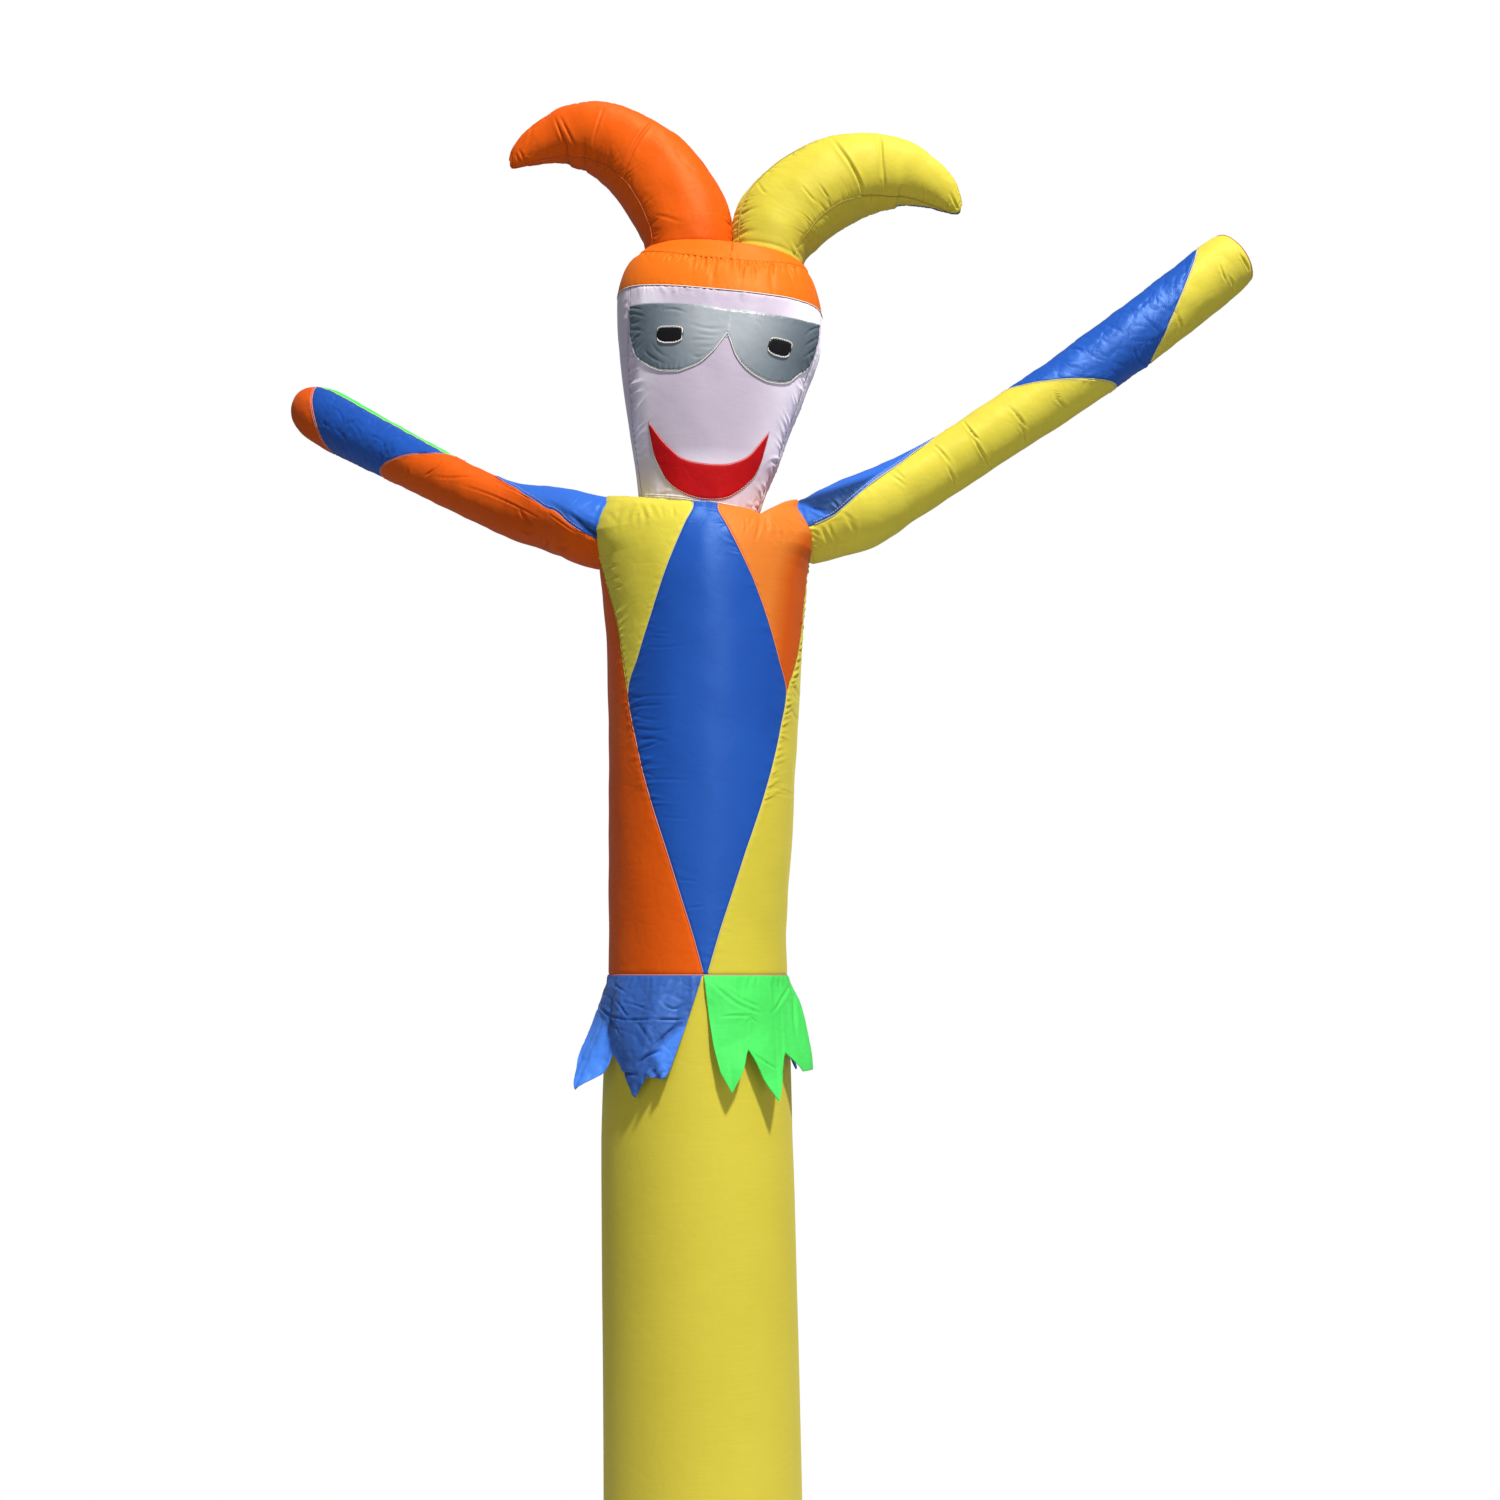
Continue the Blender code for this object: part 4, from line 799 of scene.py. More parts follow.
def declare(ob, node, base, slot, ring=False):
    """Records how large the sheet was cut and which solid it stands for, hides that solid, and fixes
    the sheet to the figure.
    """
    area = area_of(base, ring)
    wide = float(across(base, ring).max())
    long = float(np.linalg.norm(np.diff(base, axis=0), axis=-1).sum(0).max())
    if area > wide * long:
        long = area / wide * 1.0005
    if area < 0.32 * wide * long:
        long = area / (0.33 * wide)
    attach(ob, "root")
    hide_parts(node)
    CUTS[node] = (round(wide, 3), round(long, 3), round(area, 4))


# %% Sheets that know their own surface
class Sheet:
    """One panel: the skin it lies on, and all that raises or lowers it. edges gives,
    for each seam, how far along and how far from it a place is. A row of puckers is a
    seam, the start, end, pitch, reach and height in mm, and the slant."""

    def __init__(self, skin, edges, puckers=(), lines=(), uneven=(0.0005, 0.07),
                 crush=(0.0, 0.03), seed=1, lift=0.0, under=None, puff=None):
        self.skin, self.edges, self.puckers, self.lines = skin, edges, puckers, lines
        self.uneven, self.crush, self.seed, self.lift = uneven, crush, seed, lift
        self.under, self.puff = under, puff

    def height(self, t, theta, p, n, per_t, per_a):
        h = np.zeros_like(t)
        rng = np.random.default_rng(self.seed)
        places = {}
        for name, rule in self.edges.items():
            places[name] = rule(t, theta, per_t, per_a)
            away = places[name][1]
            dip = 0.0003 if name in ("fold", "brow") else SEAM_DIP
            h -= dip * np.exp(-(away / SEAM_WIDE) ** 2)
        for name, *sizes, slant in self.puckers:
            h += gathers(*places[name], *(q / 1000.0 for q in sizes), slant, rng)
        h += creases(p, n[..., 1] < -0.02, self.lines)
        h += self.uneven[0] * waves(p, self.uneven[1], 11)
        if self.crush[0]:
            h += self.crush[0] * crumpled(p, self.crush[1], 40 + self.seed)
        if self.puff is not None:
            h += self.puff(t, theta)
        if self.under is not None:
            h += self.under.height(t, theta, p, n, per_t, per_a)
        return h + self.lift

    def surface(self, t, theta):
        """Skin points, normals and heights at any places on the sheet."""
        t = np.asarray(t, float)
        theta = np.asarray(theta, float) + 0.0 * t
        p, n, per_t, per_a = look_at(self.skin, t, theta)
        return p, n, self.height(t, theta, p, n, per_t, per_a)


def side_edge(table, t0):
    """A seam that runs up beside the panel."""
    def rule(t, theta, per_t, per_a):
        return (t - t0) * per_t, np.abs(theta - table(t)) * per_a
    return rule


def level_edge(at, centre=0.0):
    """A seam that runs round at one height."""
    def rule(t, theta, per_t, per_a):
        return (theta - centre) * per_a, np.abs(t - at) * per_t
    return rule


def same_on(seams, *row):
    """The same row of puckers for several seams."""
    return [(name, *row) for name in seams]


PANELS = {}            # every finished panel by its node


def sheet(node, cloth, panel, t, theta, ring=False, pole=False, thick=THICK):
    """Builds a panel on a grid and stands it in the place of its solid. The first word of the cloth's
    name is handed on as its colour slot, which is not used."""
    PANELS[node] = panel
    base, n, h = panel.surface(t, theta)
    u, v = run_length(base, 1), run_length(base, 0)
    u = u - u.mean(1, keepdims=True)
    end = None
    if pole:
        along = panel.skin.frame(np.array(panel.skin.length))[0]
        mid = base[-1].mean(0)
        end = (mid + along * 0.0012, mid + along * (0.0012 - thick))
    ob = close_sheet("cloth_" + node, base, n, h, np.stack([u, v], -1), CLOTH[cloth], ring,
                     end, thick)
    declare(ob, node, base, cloth.split()[0], ring)
    return ob


# %% Painted light and shade
def right_of(x, z, x0, z0, x1, z1, soft=0.008):
    """1 on the right of a line walked from its first point to its second, else 0."""
    dx, dz = x1 - x0, z1 - z0
    off = ((x - x0) * dz - (z - z0) * dx) / math.hypot(dx, dz)
    return unit(0.5 + off / soft)


def paint_light_and_shade(ob, rule):
    """Paints light and shade into a sheet's colour: a rule of each point and of where it is seen gives
    how much of the duller colour each point takes.
    """
    spots = np.empty(len(ob.data.vertices) * 3)
    ob.data.vertices.foreach_get("co", spots)
    spots = spots.reshape(-1, 3) - FOOT
    ob.data.attributes.new("painted_shade_map", "FLOAT", "POINT").data.foreach_set(
        "value", rule(spots, *seen(spots)).astype(np.float32))


# %% [markdown]
# ## The leg
# The leg is one long tube of cloth with a turned hem at its foot, where it is tied over
# the fan. Its shape follows a rule: a straight round tube that leans a little and draws
# in towards the waist. So Geometry Nodes make it from a flat grid that is rolled up, and
# each size is an input that can be changed. A Solidify modifier gives it two layers.

# %% Leg tube by Geometry Nodes
def tree(name, inputs):
    """Geometry tree with named inputs: a size, a whole number, or None for a material."""
    g = bpy.data.node_groups.new(name, "GeometryNodeTree")
    g.interface.new_socket("Geometry", in_out="INPUT", socket_type="NodeSocketGeometry")
    for label, first in inputs.items():
        kind = {float: "Float", int: "Int"}.get(type(first), "Material")
        s = g.interface.new_socket(label, in_out="INPUT", socket_type="NodeSocket" + kind)
        if first is not None:
            s.default_value = first
    g.interface.new_socket("Geometry", in_out="OUTPUT", socket_type="NodeSocketGeometry")
    nodes = Nodes(g)
    given = nodes.add("NodeGroupInput").outputs
    return nodes, {s.name: Wire(nodes, s) for s in given if s.name}


def end_tree(nodes, shape, cloth):
    """The last nodes of each tree: real meshes in their material."""
    real = nodes.add("RealizeInstances", {0: shape})
    dress = nodes.add("SetMaterial", {"Geometry": real.outputs[0],
                                                  "Material": cloth})
    nodes.add("NodeGroupOutput", {0: dress.outputs[0]})


def run_tree(name, nodes, mesh, values):
    """An object whose modifier runs a tree; each input is set by its identifier."""
    ob = shown(bpy.data.objects.new(name, mesh))
    mod = ob.modifiers.new("tree", "NODES")
    mod.node_group = nodes.tree
    for item in nodes.tree.interface.items_tree:
        if item.item_type == "SOCKET" and item.in_out == "INPUT" and item.name in values:
            mod[item.identifier] = values[item.name]
    return ob


def bake(ob, name):
    """The evaluated object as a plain mesh object without modifiers."""
    got = ob.evaluated_get(bpy.context.evaluated_depsgraph_get())
    me = bpy.data.meshes.new_from_object(got)
    me.name = name
    bpy.data.objects.remove(ob)
    return shown(bpy.data.objects.new(name, me))


leg_nodes, size = tree("leg tube", {
    "Height": 1.55, "Radius": 0.15, "Waist In": 0.0084, "Lean": 0.0178, "Hem Height": 0.045,
    "Hem Thick": 0.0014, "Uneven": 0.0011, "Gathers": 0.0011, "Seed": 5, "Cloth": None})
grid = leg_nodes.add("MeshGrid", {"Size X": 1.0, "Size Y": 1.0,
                                              "Vertices X": 97, "Vertices Y": 125})
place = leg_nodes.add("InputPosition")
split = leg_nodes.add("ShaderNodeSeparateXYZ", {0: place.outputs[0]})
turn = Wire(leg_nodes, split.outputs["X"]) * (2 * math.pi)
height = (Wire(leg_nodes, split.outputs["Y"]) + 0.5) * size["Height"]
# the waist draws in over the last 0.35 m, as a square
near = ((height - 1.2) / 0.35).math("MAXIMUM", 0.0)
drawn = near * near * size["Waist In"]
# it leans as it rises, up to 1.3 m
rise = (height / 1.3).math("MINIMUM", 1.0)
lean = rise * rise * size["Lean"]
# the hem is a second layer of cloth, pulled in by its row of stitches
hem_top = size["Hem Height"] - height
hem = hem_top.math("GREATER_THAN", 0.0) * size["Hem Thick"]
stitch_gap = (hem_top - 0.004) / 0.004
stitch_dip = (stitch_gap * stitch_gap * -1.0).math("EXPONENT") * 0.0011
# the cloth is a little uneven, but not at its foot
around = leg_nodes.add("ShaderNodeCombineXYZ", {
    "X": turn.math("COSINE") * 0.15, "Y": turn.math("SINE") * 0.15, "Z": height * 0.45})
noise = leg_nodes.add("ShaderNodeTexNoise", {
    "Scale": 7.0, "Detail": 1.0, "Vector": around.outputs[0], "W": size["Seed"]},
    noise_dimensions="4D")
soft = ((Wire(leg_nodes, noise.outputs[0]) - 0.5) * (size["Uneven"] * 2.0)
        * (height / 0.15).math("MINIMUM", 1.0))
# gathers hang down from the waist seam
ridge = leg_nodes.add("ShaderNodeTexNoise", {"Scale": 13.0, "Detail": 2.0, "W": turn},
                      noise_dimensions="1D")
fade = ((size["Height"] - height) / 0.05 * -1.0).math("EXPONENT")
gather = (Wire(leg_nodes, ridge.outputs[0]) - 0.5) * fade * size["Gathers"]
radius = size["Radius"] - drawn + hem + soft + gather - stitch_dip
spot = leg_nodes.add("ShaderNodeCombineXYZ", {
    "X": turn.math("COSINE") * radius - lean, "Y": turn.math("SINE") * radius, "Z": height})
to_uv = leg_nodes.add("ShaderNodeCombineXYZ", {"X": turn * size["Radius"], "Y": height})
uv = leg_nodes.add("StoreNamedAttribute", {
    "Name": "UVMap", "Geometry": grid.outputs["Mesh"], "Value": to_uv.outputs[0]},
    data_type="FLOAT2", domain="CORNER")
roll = leg_nodes.add("SetPosition", {"Geometry": uv.outputs[0],
                                                 "Position": spot.outputs[0]})
weld = leg_nodes.add("MergeByDistance", {"Geometry": roll.outputs[0],
                                                     "Distance": 0.0002})
smooth = leg_nodes.add("SetShadeSmooth", {0: weld.outputs[0]})
end_tree(leg_nodes, smooth.outputs[0], size["Cloth"])

leg = run_tree("leg work", leg_nodes, bpy.data.meshes.new("leg work"),
               {"Cloth": CLOTH["yellow"]})
wall = leg.modifiers.new("two layers", "SOLIDIFY")
wall.thickness = THICK
wall.offset = -1.0
leg = bake(leg, "cloth_leg_tube")
leg.data.transform(Matrix.Translation(FOOT))
LEG_CUT = (0.943, 1.65)       # round the tube, and its length with the turned hem
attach(leg, "root")
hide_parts("leg_tube")
CUTS["leg_tube"] = (*LEG_CUT, round(LEG_CUT[0] * LEG_CUT[1], 4))
print("leg:", len(leg.data.polygons), "faces")

# %% [markdown]
# ## The torso
# Eight panels make the harlequin torso: a long blue diamond in front and one behind, a
# kite on each shoulder, and one panel down each side. Their seams are slanted lines, so
# the tables give the angle of each seam round the body at each height. The thread along
# them has drawn up the cloth, most of all on the diamond's left side, and a few single
# creases cross the panels where the figure bends in the wind.

# %% Torso seams
VERTEX_T, TIP_T = 1.987, 2.305
WAIST, NECK = 1.55, 2.405
TORSO_SEAMS = [  # t, diamond_left, diamond_right, side_left, side_right
    (1.55, 5.6, 7.8, 5.6, 7.8), (1.61, -1.1, 15.1, -1.1, 15.1), (1.669, -9.2, 22.5, -9.2, 22.5),
    (1.733, -18.1, 30.2, -18.1, 30.2), (1.83, -31.8, 43.4, -31.8, 43.4),
    (1.928, -43.2, 54.3, -43.2, 54.3), (1.987, -48.2, 58.4, -48.2, 58.4),
    (2.04, -39.5, 49.5, -52.8, 69), (2.094, -31.2, 40.3, -57, 78), (2.162, -21, 29.1, -66.3, 83.5),
    (2.21, -14.2, 21.1, -74, 85.5), (2.26, -8.1, 14.4, -86.5, 87.2), (2.305, -3.5, 9.8, -90, 90),
    (2.345, -4.2, 10.9, -90, 90), (2.375, -5.1, 12.8, -90, 90), (2.405, -6.4, 15.3, -90, 90),
]


def seam(k, back=False):
    """Angle of a seam at each height; below the vertex a side seam is the diamond's."""
    table = [(r[0], r[k]) for r in TORSO_SEAMS]
    lower = [(r[0], r[k - 2]) for r in TORSO_SEAMS] if k > 2 else table

    def at(t):
        v = np.where(t <= VERTEX_T, value(lower, t), value(table, t))
        if back:
            v = -180.0 - v if k in (1, 3) else 180.0 - v
        return v
    return at


def turned(rule, by):
    return lambda t: rule(t) + by


D_LEFT, D_RIGHT, S_LEFT, S_RIGHT = (seam(k) for k in (1, 2, 3, 4))
B_LEFT, B_RIGHT, BS_LEFT, BS_RIGHT = (seam(k, True) for k in (1, 2, 3, 4))
BACK_WAY = turned(B_LEFT, 360.0)

# %% Creases of the torso
# Every crease table has the x and z of three points as seen on the sight sheet, in
# millimetres, then how wide and how deep the crease is.
DIAMOND = [  # x0, z0, x1, z1, x2, z2, width, depth
    (-114, 1927, -87, 1921, -63, 1923, 3, 1.1), (-110, 1902, -90, 1908, -62, 1902, 3, 1.2),
    (-109, 1887, -87, 1898, -68, 1905, 3, 1.2), (-119, 1955, -99, 1959, -68, 1960, 3, 1.1),
    (-116, 1946, -98, 1939, -76, 1937, 3, 1), (-103, 1866, -95, 1868, -87, 1869, 3, 0.9),
    (-99, 1858, -89, 1853, -81, 1850, 3, 1), (-97, 1847, -70, 1845, -29, 1845, 3, 0.9),
    (-100, 2053, -72, 2051, -39, 2055, 2.5, 0.7), (-94, 2067, -78, 2066, -64, 2064, 2.5, 0.6),
    (-86, 2074, -72, 2073, -56, 2073, 2.5, 0.6), (-124, 1977, -114, 1974, -104, 1972, 3, 1.1),
    (-72, 1787, -53, 1786, -32, 1784, 2.5, 0.6), (-42, 1692, -28, 1691, -15, 1689, 2.5, 0.7),
    (-28, 1649, -16, 1651, -4, 1652, 2.5, 0.7), (-120, 1969, -93, 1974, -49, 1975, 3, 0.8),
    (-123, 1927, -116, 1921, -109, 1915, 3, 1.3),
]
SIDE_RIGHT = [
    (126, 2000, 135, 1983, 142, 1966, 3.5, 1.6), (127, 1983, 134, 1973, 142, 1963, 3, 1.3),
    (124, 1958, 132, 1945, 140, 1933, 3, 1.2), (99, 1832, 115, 1828, 134, 1820, 2.5, 1.2),
    (96, 1827, 115, 1822, 134, 1818, 2.5, 1), (132, 2045, 141, 2046, 149, 2047, 2.5, 1.2),
    (135, 2028, 142, 2030, 149, 2033, 2.5, 1.2), (127, 2011, 135, 2014, 146, 2015, 2.5, 1.2),
]
TOP_LEFT = [
    (-108, 2285, -102, 2265, -99, 2244, 5, 1.3), (-119, 2284, -127, 2262, -132, 2244, 5, 1.2),
    (-138, 2282, -141, 2270, -145, 2259, 4, 1), (-96, 2284, -85, 2270, -79, 2256, 4, 1),
    (-161, 2267, -149, 2256, -141, 2239, 5, 1), (-165, 2172, -154, 2179, -143, 2181, 4, 1.3),
    (-162, 2155, -151, 2161, -140, 2163, 4, 1.2), (-156, 2141, -145, 2147, -135, 2147, 4, 1.1),
]
NECK_FAN_RIGHT = [
    (80, 2264, 80, 2248, 74, 2223, 3.6, 1.5), (88, 2263, 92, 2248, 90, 2235, 4.6, 1.6),
    (96, 2259, 105, 2243, 109, 2231, 3, 1.5), (103, 2256, 115, 2247, 120, 2235, 3.4, 1.3),
    (112, 2257, 128, 2248, 138, 2235, 3, 1), (67, 2259, 66, 2252, 63, 2241, 3, 1.1),
    (58, 2257, 59, 2245, 57, 2235, 3, 1), (94, 2235, 100, 2224, 103, 2216, 3, 1.2),
    (102, 2235, 106, 2226, 108, 2215, 2.6, 1.1), (112, 2235, 116, 2228, 118, 2218, 3, 1),
    (139, 2256, 147, 2252, 153, 2244, 3, 0.9),
]
NECK_FAN_LEFT = [
    (-116, 2279, -121, 2266, -125, 2252, 3, 1.5), (-111, 2277, -112, 2262, -112, 2247, 3, 1.6),
    (-105, 2278, -101, 2266, -97, 2256, 3, 1.3), (-93, 2279, -89, 2269, -86, 2258, 3, 1.2),
    (-76, 2279, -73, 2268, -71, 2259, 3, 1.1), (-57, 2278, -55, 2269, -54, 2260, 3, 1),
    (-131, 2277, -139, 2264, -145, 2251, 3, 1.3),
]

# %% Torso panels
def torso_panel(node, cloth, t0, t1, left, right, rows, cols, puckers, lines, seed):
    edges = {"left": side_edge(left, t0), "right": side_edge(right, t0),
             "low": level_edge(WAIST), "top": level_edge(NECK, 0.5 * float(left(t1) + right(t1)))}
    panel = Sheet(TORSO, edges, puckers, lines, seed=seed)
    t, theta = strip(t0, t1, left, right, rows, cols)
    return sheet(node, cloth, panel, t, theta)


SMALL = 0.7            # height, in mm, of the gathers that every seam has
torso_panel("torso_front_diamond", "blue", WAIST, NECK, D_LEFT, D_RIGHT, 460, 56, [
    ("left", 20, 260, 14, 12, SMALL, 0), ("left", 260, 440, 8.5, 30, 2.2, 0.1),
    ("left", 440, 560, 13, 30, 1.2, 0), ("left", 560, 800, 13, 14, SMALL, 0),
    ("right", 20, 840, 13, 16, 0.9, 0), ("right", 300, 600, 24, 30, 1.2, 0),
    ("top", -30, 30, 10, 30, 1.6, 0)], DIAMOND, 21)
torso_panel("torso_front_left", "yellow crumpled", VERTEX_T, NECK, S_LEFT, D_LEFT, 220, 84, [
    ("left", 0, 120, 9, 14, 1.6, 0.2), ("left", 100, 340, 8.5, 24, 2.8, 0.3),
    ("right", 0, 420, 12, 12, 0.9, 0), ("top", -160, 160, 8, 34, 2, 0)],
    TOP_LEFT + crisp(NECK_FAN_LEFT, 1.0, 1.5), 22)
kite = torso_panel("torso_front_right", "orange kite", VERTEX_T, NECK, D_RIGHT, S_RIGHT, 200, 104, [
    ("left", 0, 420, 12, 11, 0.9, 0), ("right", 50, 360, 10, 16, 1.4, -0.2),
    ("top", -160, 160, 10, 16, 1.2, 0)], crisp(NECK_FAN_RIGHT, 0.9, 1.8), 23)
torso_panel("torso_side_left", "orange crumpled", WAIST, TIP_T, BS_LEFT, S_LEFT, 250, 50, [
    ("right", 20, 260, 13, 12, SMALL, 0), ("right", 260, 720, 10, 18, 1.8, 0),
    ("left", 20, 700, 13, 14, 0.9, 0), ("low", -300, 300, 12, 14, 0.9, 0)], (), 24)
torso_panel("torso_side_right", "yellow", WAIST, TIP_T, S_RIGHT, BS_RIGHT, 300, 50, [
    ("left", 20, 260, 13, 13, 0.9, 0), ("left", 260, 740, 8.5, 28, 3, 0.3),
    ("right", 20, 700, 13, 14, 0.9, 0), ("low", -300, 300, 12, 14, 0.9, 0)], SIDE_RIGHT, 25)
BACK_GATHERS = same_on(("left", "right"), 20, 840, 13, 18, 1.2, 0.0)
BACK_TOP = BACK_GATHERS + [("top", -160, 160, 10, 28, 1.3, 0)]
torso_panel("torso_back_diamond", "blue", WAIST, NECK, B_RIGHT, BACK_WAY, 190, 30,
            BACK_GATHERS, (), 26)
torso_panel("torso_back_left", "yellow", VERTEX_T, NECK, B_LEFT, BS_LEFT, 110, 22, BACK_TOP,
            (), 27)
torso_panel("torso_back_right", "orange", VERTEX_T, NECK, BS_RIGHT, B_RIGHT, 110, 22,
            BACK_TOP, (), 28)

# painted shade: the right kite's lower right, which turns away from the light, takes the darker colour
KITE_PAINTED_SHADE = [(2.00, 0.096), (2.09, 0.106), (2.16, 0.114), (2.207, 0.13), (2.239, 0.158),
              (2.26, 0.185), (2.4, 0.3)]     # z, x where the shade begins
paint_light_and_shade(kite, lambda p, x, z: unit((x - value(KITE_PAINTED_SHADE, np.clip(z, 2.0, 2.4)) + 0.013)
                                   / 0.03))
print("torso panels:", len(PANELS))

# %% [markdown]
# ## The head and the cap
# The head is four lilac-white panels: a flat face, two gussets at its sides and a back.
# The gusset seams draw the face up in a row of short folds at each side. The cap's
# orange band closes over it, and two top pieces meet at a short seam between the horns.

# %% Head
HEAD_LOW, BROW, FOLD_T = 2.33, 2.666, 2.745
FACE_LEFT = [(2.33, -66.0), (2.367, -70.0), (2.437, -68.5), (2.507, -64.0),
             (2.578, -60.5), (2.614, -58.0), (2.666, -57.0)]
FACE_RIGHT = [(2.33, 68.0), (2.367, 75.0), (2.402, 78.0), (2.472, 79.0), (2.507, 77.5),
              (2.543, 75.5), (2.578, 75.0), (2.614, 76.0), (2.666, 77.0)]
FACE = [  # x0, z0, x1, z1, x2, z2, width, depth
    (-70, 2648, -70, 2642, -69, 2636, 2.8, 1.6), (-58, 2648, -58, 2643, -57, 2638, 2.8, 1.6),
    (-49, 2647, -49, 2640, -48, 2634, 2.8, 2), (-41, 2647, -40, 2640, -40, 2633, 2.8, 2.2),
    (-32, 2647, -32, 2639, -31, 2631, 2.8, 2.4), (-24, 2647, -24, 2638, -23, 2629, 2.8, 2.4),
    (-16, 2647, -16, 2639, -15, 2630, 2.8, 2.4), (-8, 2646, -7, 2638, -6, 2630, 2.8, 2.2),
    (1, 2645, 2, 2639, 3, 2633, 2.8, 1.8), (14, 2643, 14, 2639, 15, 2635, 2.8, 1.5),
    (-85, 2294, -63, 2298, -42, 2296, 3, 1.2), (61, 2277, 76, 2274, 79, 2268, 3, 1.2),
    (79, 2298, 86, 2286, 92, 2277, 3, 1.3), (76, 2290, 72, 2281, 69, 2274, 3, 1.2),
]
CAP = [
    (-69, 2696, -71, 2691, -74, 2685, 2.5, 1), (-59, 2698, -61, 2693, -64, 2688, 2.5, 1.1),
    (-42, 2700, -45, 2693, -49, 2686, 3, 1.3), (-33, 2702, -35, 2696, -39, 2690, 3, 1.3),
    (-22, 2701, -25, 2694, -30, 2687, 3, 1.4), (-13, 2700, -16, 2686, -21, 2672, 3, 1.6),
    (-4, 2702, -7, 2691, -10, 2677, 3, 1.5), (3, 2698, 2, 2683, -1, 2664, 3.2, 1.9),
    (12, 2698, 9, 2681, 4, 2660, 3, 1.8), (21, 2702, 18, 2693, 13, 2681, 3, 1.5),
    (34, 2700, 34, 2693, 35, 2686, 3, 1.2), (46, 2688, 47, 2676, 47, 2662, 3, 1.5),
    (53, 2682, 53, 2672, 52, 2658, 3, 1.4), (59, 2687, 61, 2681, 64, 2675, 3, 1.2),
    (74, 2686, 77, 2678, 81, 2670, 3, 1.3), (92, 2685, 94, 2680, 98, 2674, 2.5, 1),
    (110, 2681, 113, 2676, 117, 2671, 3, 1.2), (128, 2676, 132, 2671, 135, 2664, 3, 1.1),
]


def f_left(t):
    return value(FACE_LEFT, t)


def f_right(t):
    return value(FACE_RIGHT, t)


def mirror(rule, full):
    return lambda t: full - rule(t)


def painted_light_at_face_sides(p, *_):
    # painted light and shade: the white takes its bright colour at the sides and back, as if daylight
    # shone through the thin cloth there, and painted shade in the middle of the face; the left edge and
    # the low band round the mouth and chin take part of the shade
    x, y, z = p.T
    cx, half = 0.0001 + 0.14 * (z - 2.472), 0.143 + 0.1 * (z - 2.472)
    middle = np.exp(-(np.abs(x - cx) / (0.8 * half)) ** 5) * (y < 0)
    middle *= np.clip((z - 2.33) / 0.06, 0.6, 1.0)
    left = 0.8 * unit(((cx - x) / half - 0.75) / 0.15)
    return np.maximum(middle, np.maximum(left, 0.6 * unit((2.44 - z) / 0.06)))


def head_panel(node, left, right, rows, cols, puckers, lines, seed):
    edges = {"left": side_edge(left, HEAD_LOW), "right": side_edge(right, HEAD_LOW),
             "low": level_edge(HEAD_LOW), "top": level_edge(BROW)}
    panel = Sheet(HEAD, edges, puckers, lines, uneven=(0.0004, 0.06), seed=seed)
    t, theta = strip(HEAD_LOW, BROW, left, right, rows, cols)
    # the white cloth takes painted light and shade by the rule above
    paint_light_and_shade(sheet(node, "white", panel, t, theta), painted_light_at_face_sides)


head_panel("head_face", f_left, f_right, 190, 134, [
    ("left", 10, 90, 9, 12, 1.4, 0.2), ("left", 60, 240, 8, 28, 4.2, 0.3),
    ("left", 240, 330, 10, 12, 1.2, 0), ("right", 0, 220, 7.5, 27, 3.8, 0.4),
    ("right", 200, 330, 9, 14, 1.4, 0.2), ("top", -120, 40, 7, 17, 3.2, 0.1),
    ("top", 40, 160, 9, 13, 1.4, 0), ("low", -120, 120, 12, 22, 1.6, 0)], FACE, 31)
SIDE_GATHERS = same_on(("left", "right"), 10, 330, 8.5, 14, 1.8, 0.0)
FACE_BACK = mirror(f_right, 180.0), mirror(f_left, 180.0)
head_panel("head_side_left", mirror(f_left, -180.0), f_left, 110, 26, SIDE_GATHERS, (), 32)
head_panel("head_side_right", f_right, FACE_BACK[0], 110, 24, SIDE_GATHERS, (), 33)
head_panel("head_back", *FACE_BACK, 90, 46, SIDE_GATHERS, (), 34)

# %% Cap
SPLIT = 4.6
LID_MIDDLE = 2.893
BAND_SEAMS = ("brow", "fold", "end_a", "end_b")


def cap_piece(node, skin, t0, t1, a, b, rows, cols, puckers, lines, seed, seams):
    edges = {"brow": level_edge(BROW), "fold": level_edge(FOLD_T, 0.5 * (a + b)),
             "end_a": side_edge(level(a), BROW), "end_b": side_edge(level(b), BROW)}
    panel = Sheet(skin, {k: edges[k] for k in seams}, puckers, lines, uneven=(0.0004, 0.06),
                  seed=seed)
    t, theta = strip(t0, t1, level(a), level(b), rows, cols, ends=0.0)
    sheet(node, "orange", panel, t, theta)


cap_piece("cap_band_front", HEAD, BROW, FOLD_T, -90.0, 90.0, 46, 240, [
    ("fold", -230, 0, 10, 20, -4, 0.2), ("fold", -40, 170, 10, 36, -4.8, 0.2),
    ("brow", -220, 220, 10, 10, 1.2, 0)], crisp(CAP, 0.85, 1.9), 35, BAND_SEAMS)
cap_piece("cap_band_back", HEAD, BROW, FOLD_T, 90.0, 270.0, 30, 110, [
    ("fold", -230, 230, 10.5, 22, 1.8, 0), ("brow", -220, 220, 11, 10, 0.8, 0)], (), 36, BAND_SEAMS)
for side, a, b, seed in (("left", -180.0 - SPLIT, SPLIT, 37), ("right", SPLIT, 180.0 - SPLIT, 38)):
    cap_piece("cap_top_" + side, LID, FOLD_T, LID_MIDDLE, a, b, 32, 150,
              [("fold", -300, 300, 7.5, 16, 2.6, 0)], (), seed, ("fold",))
print("head and cap done, panels:", len(PANELS))

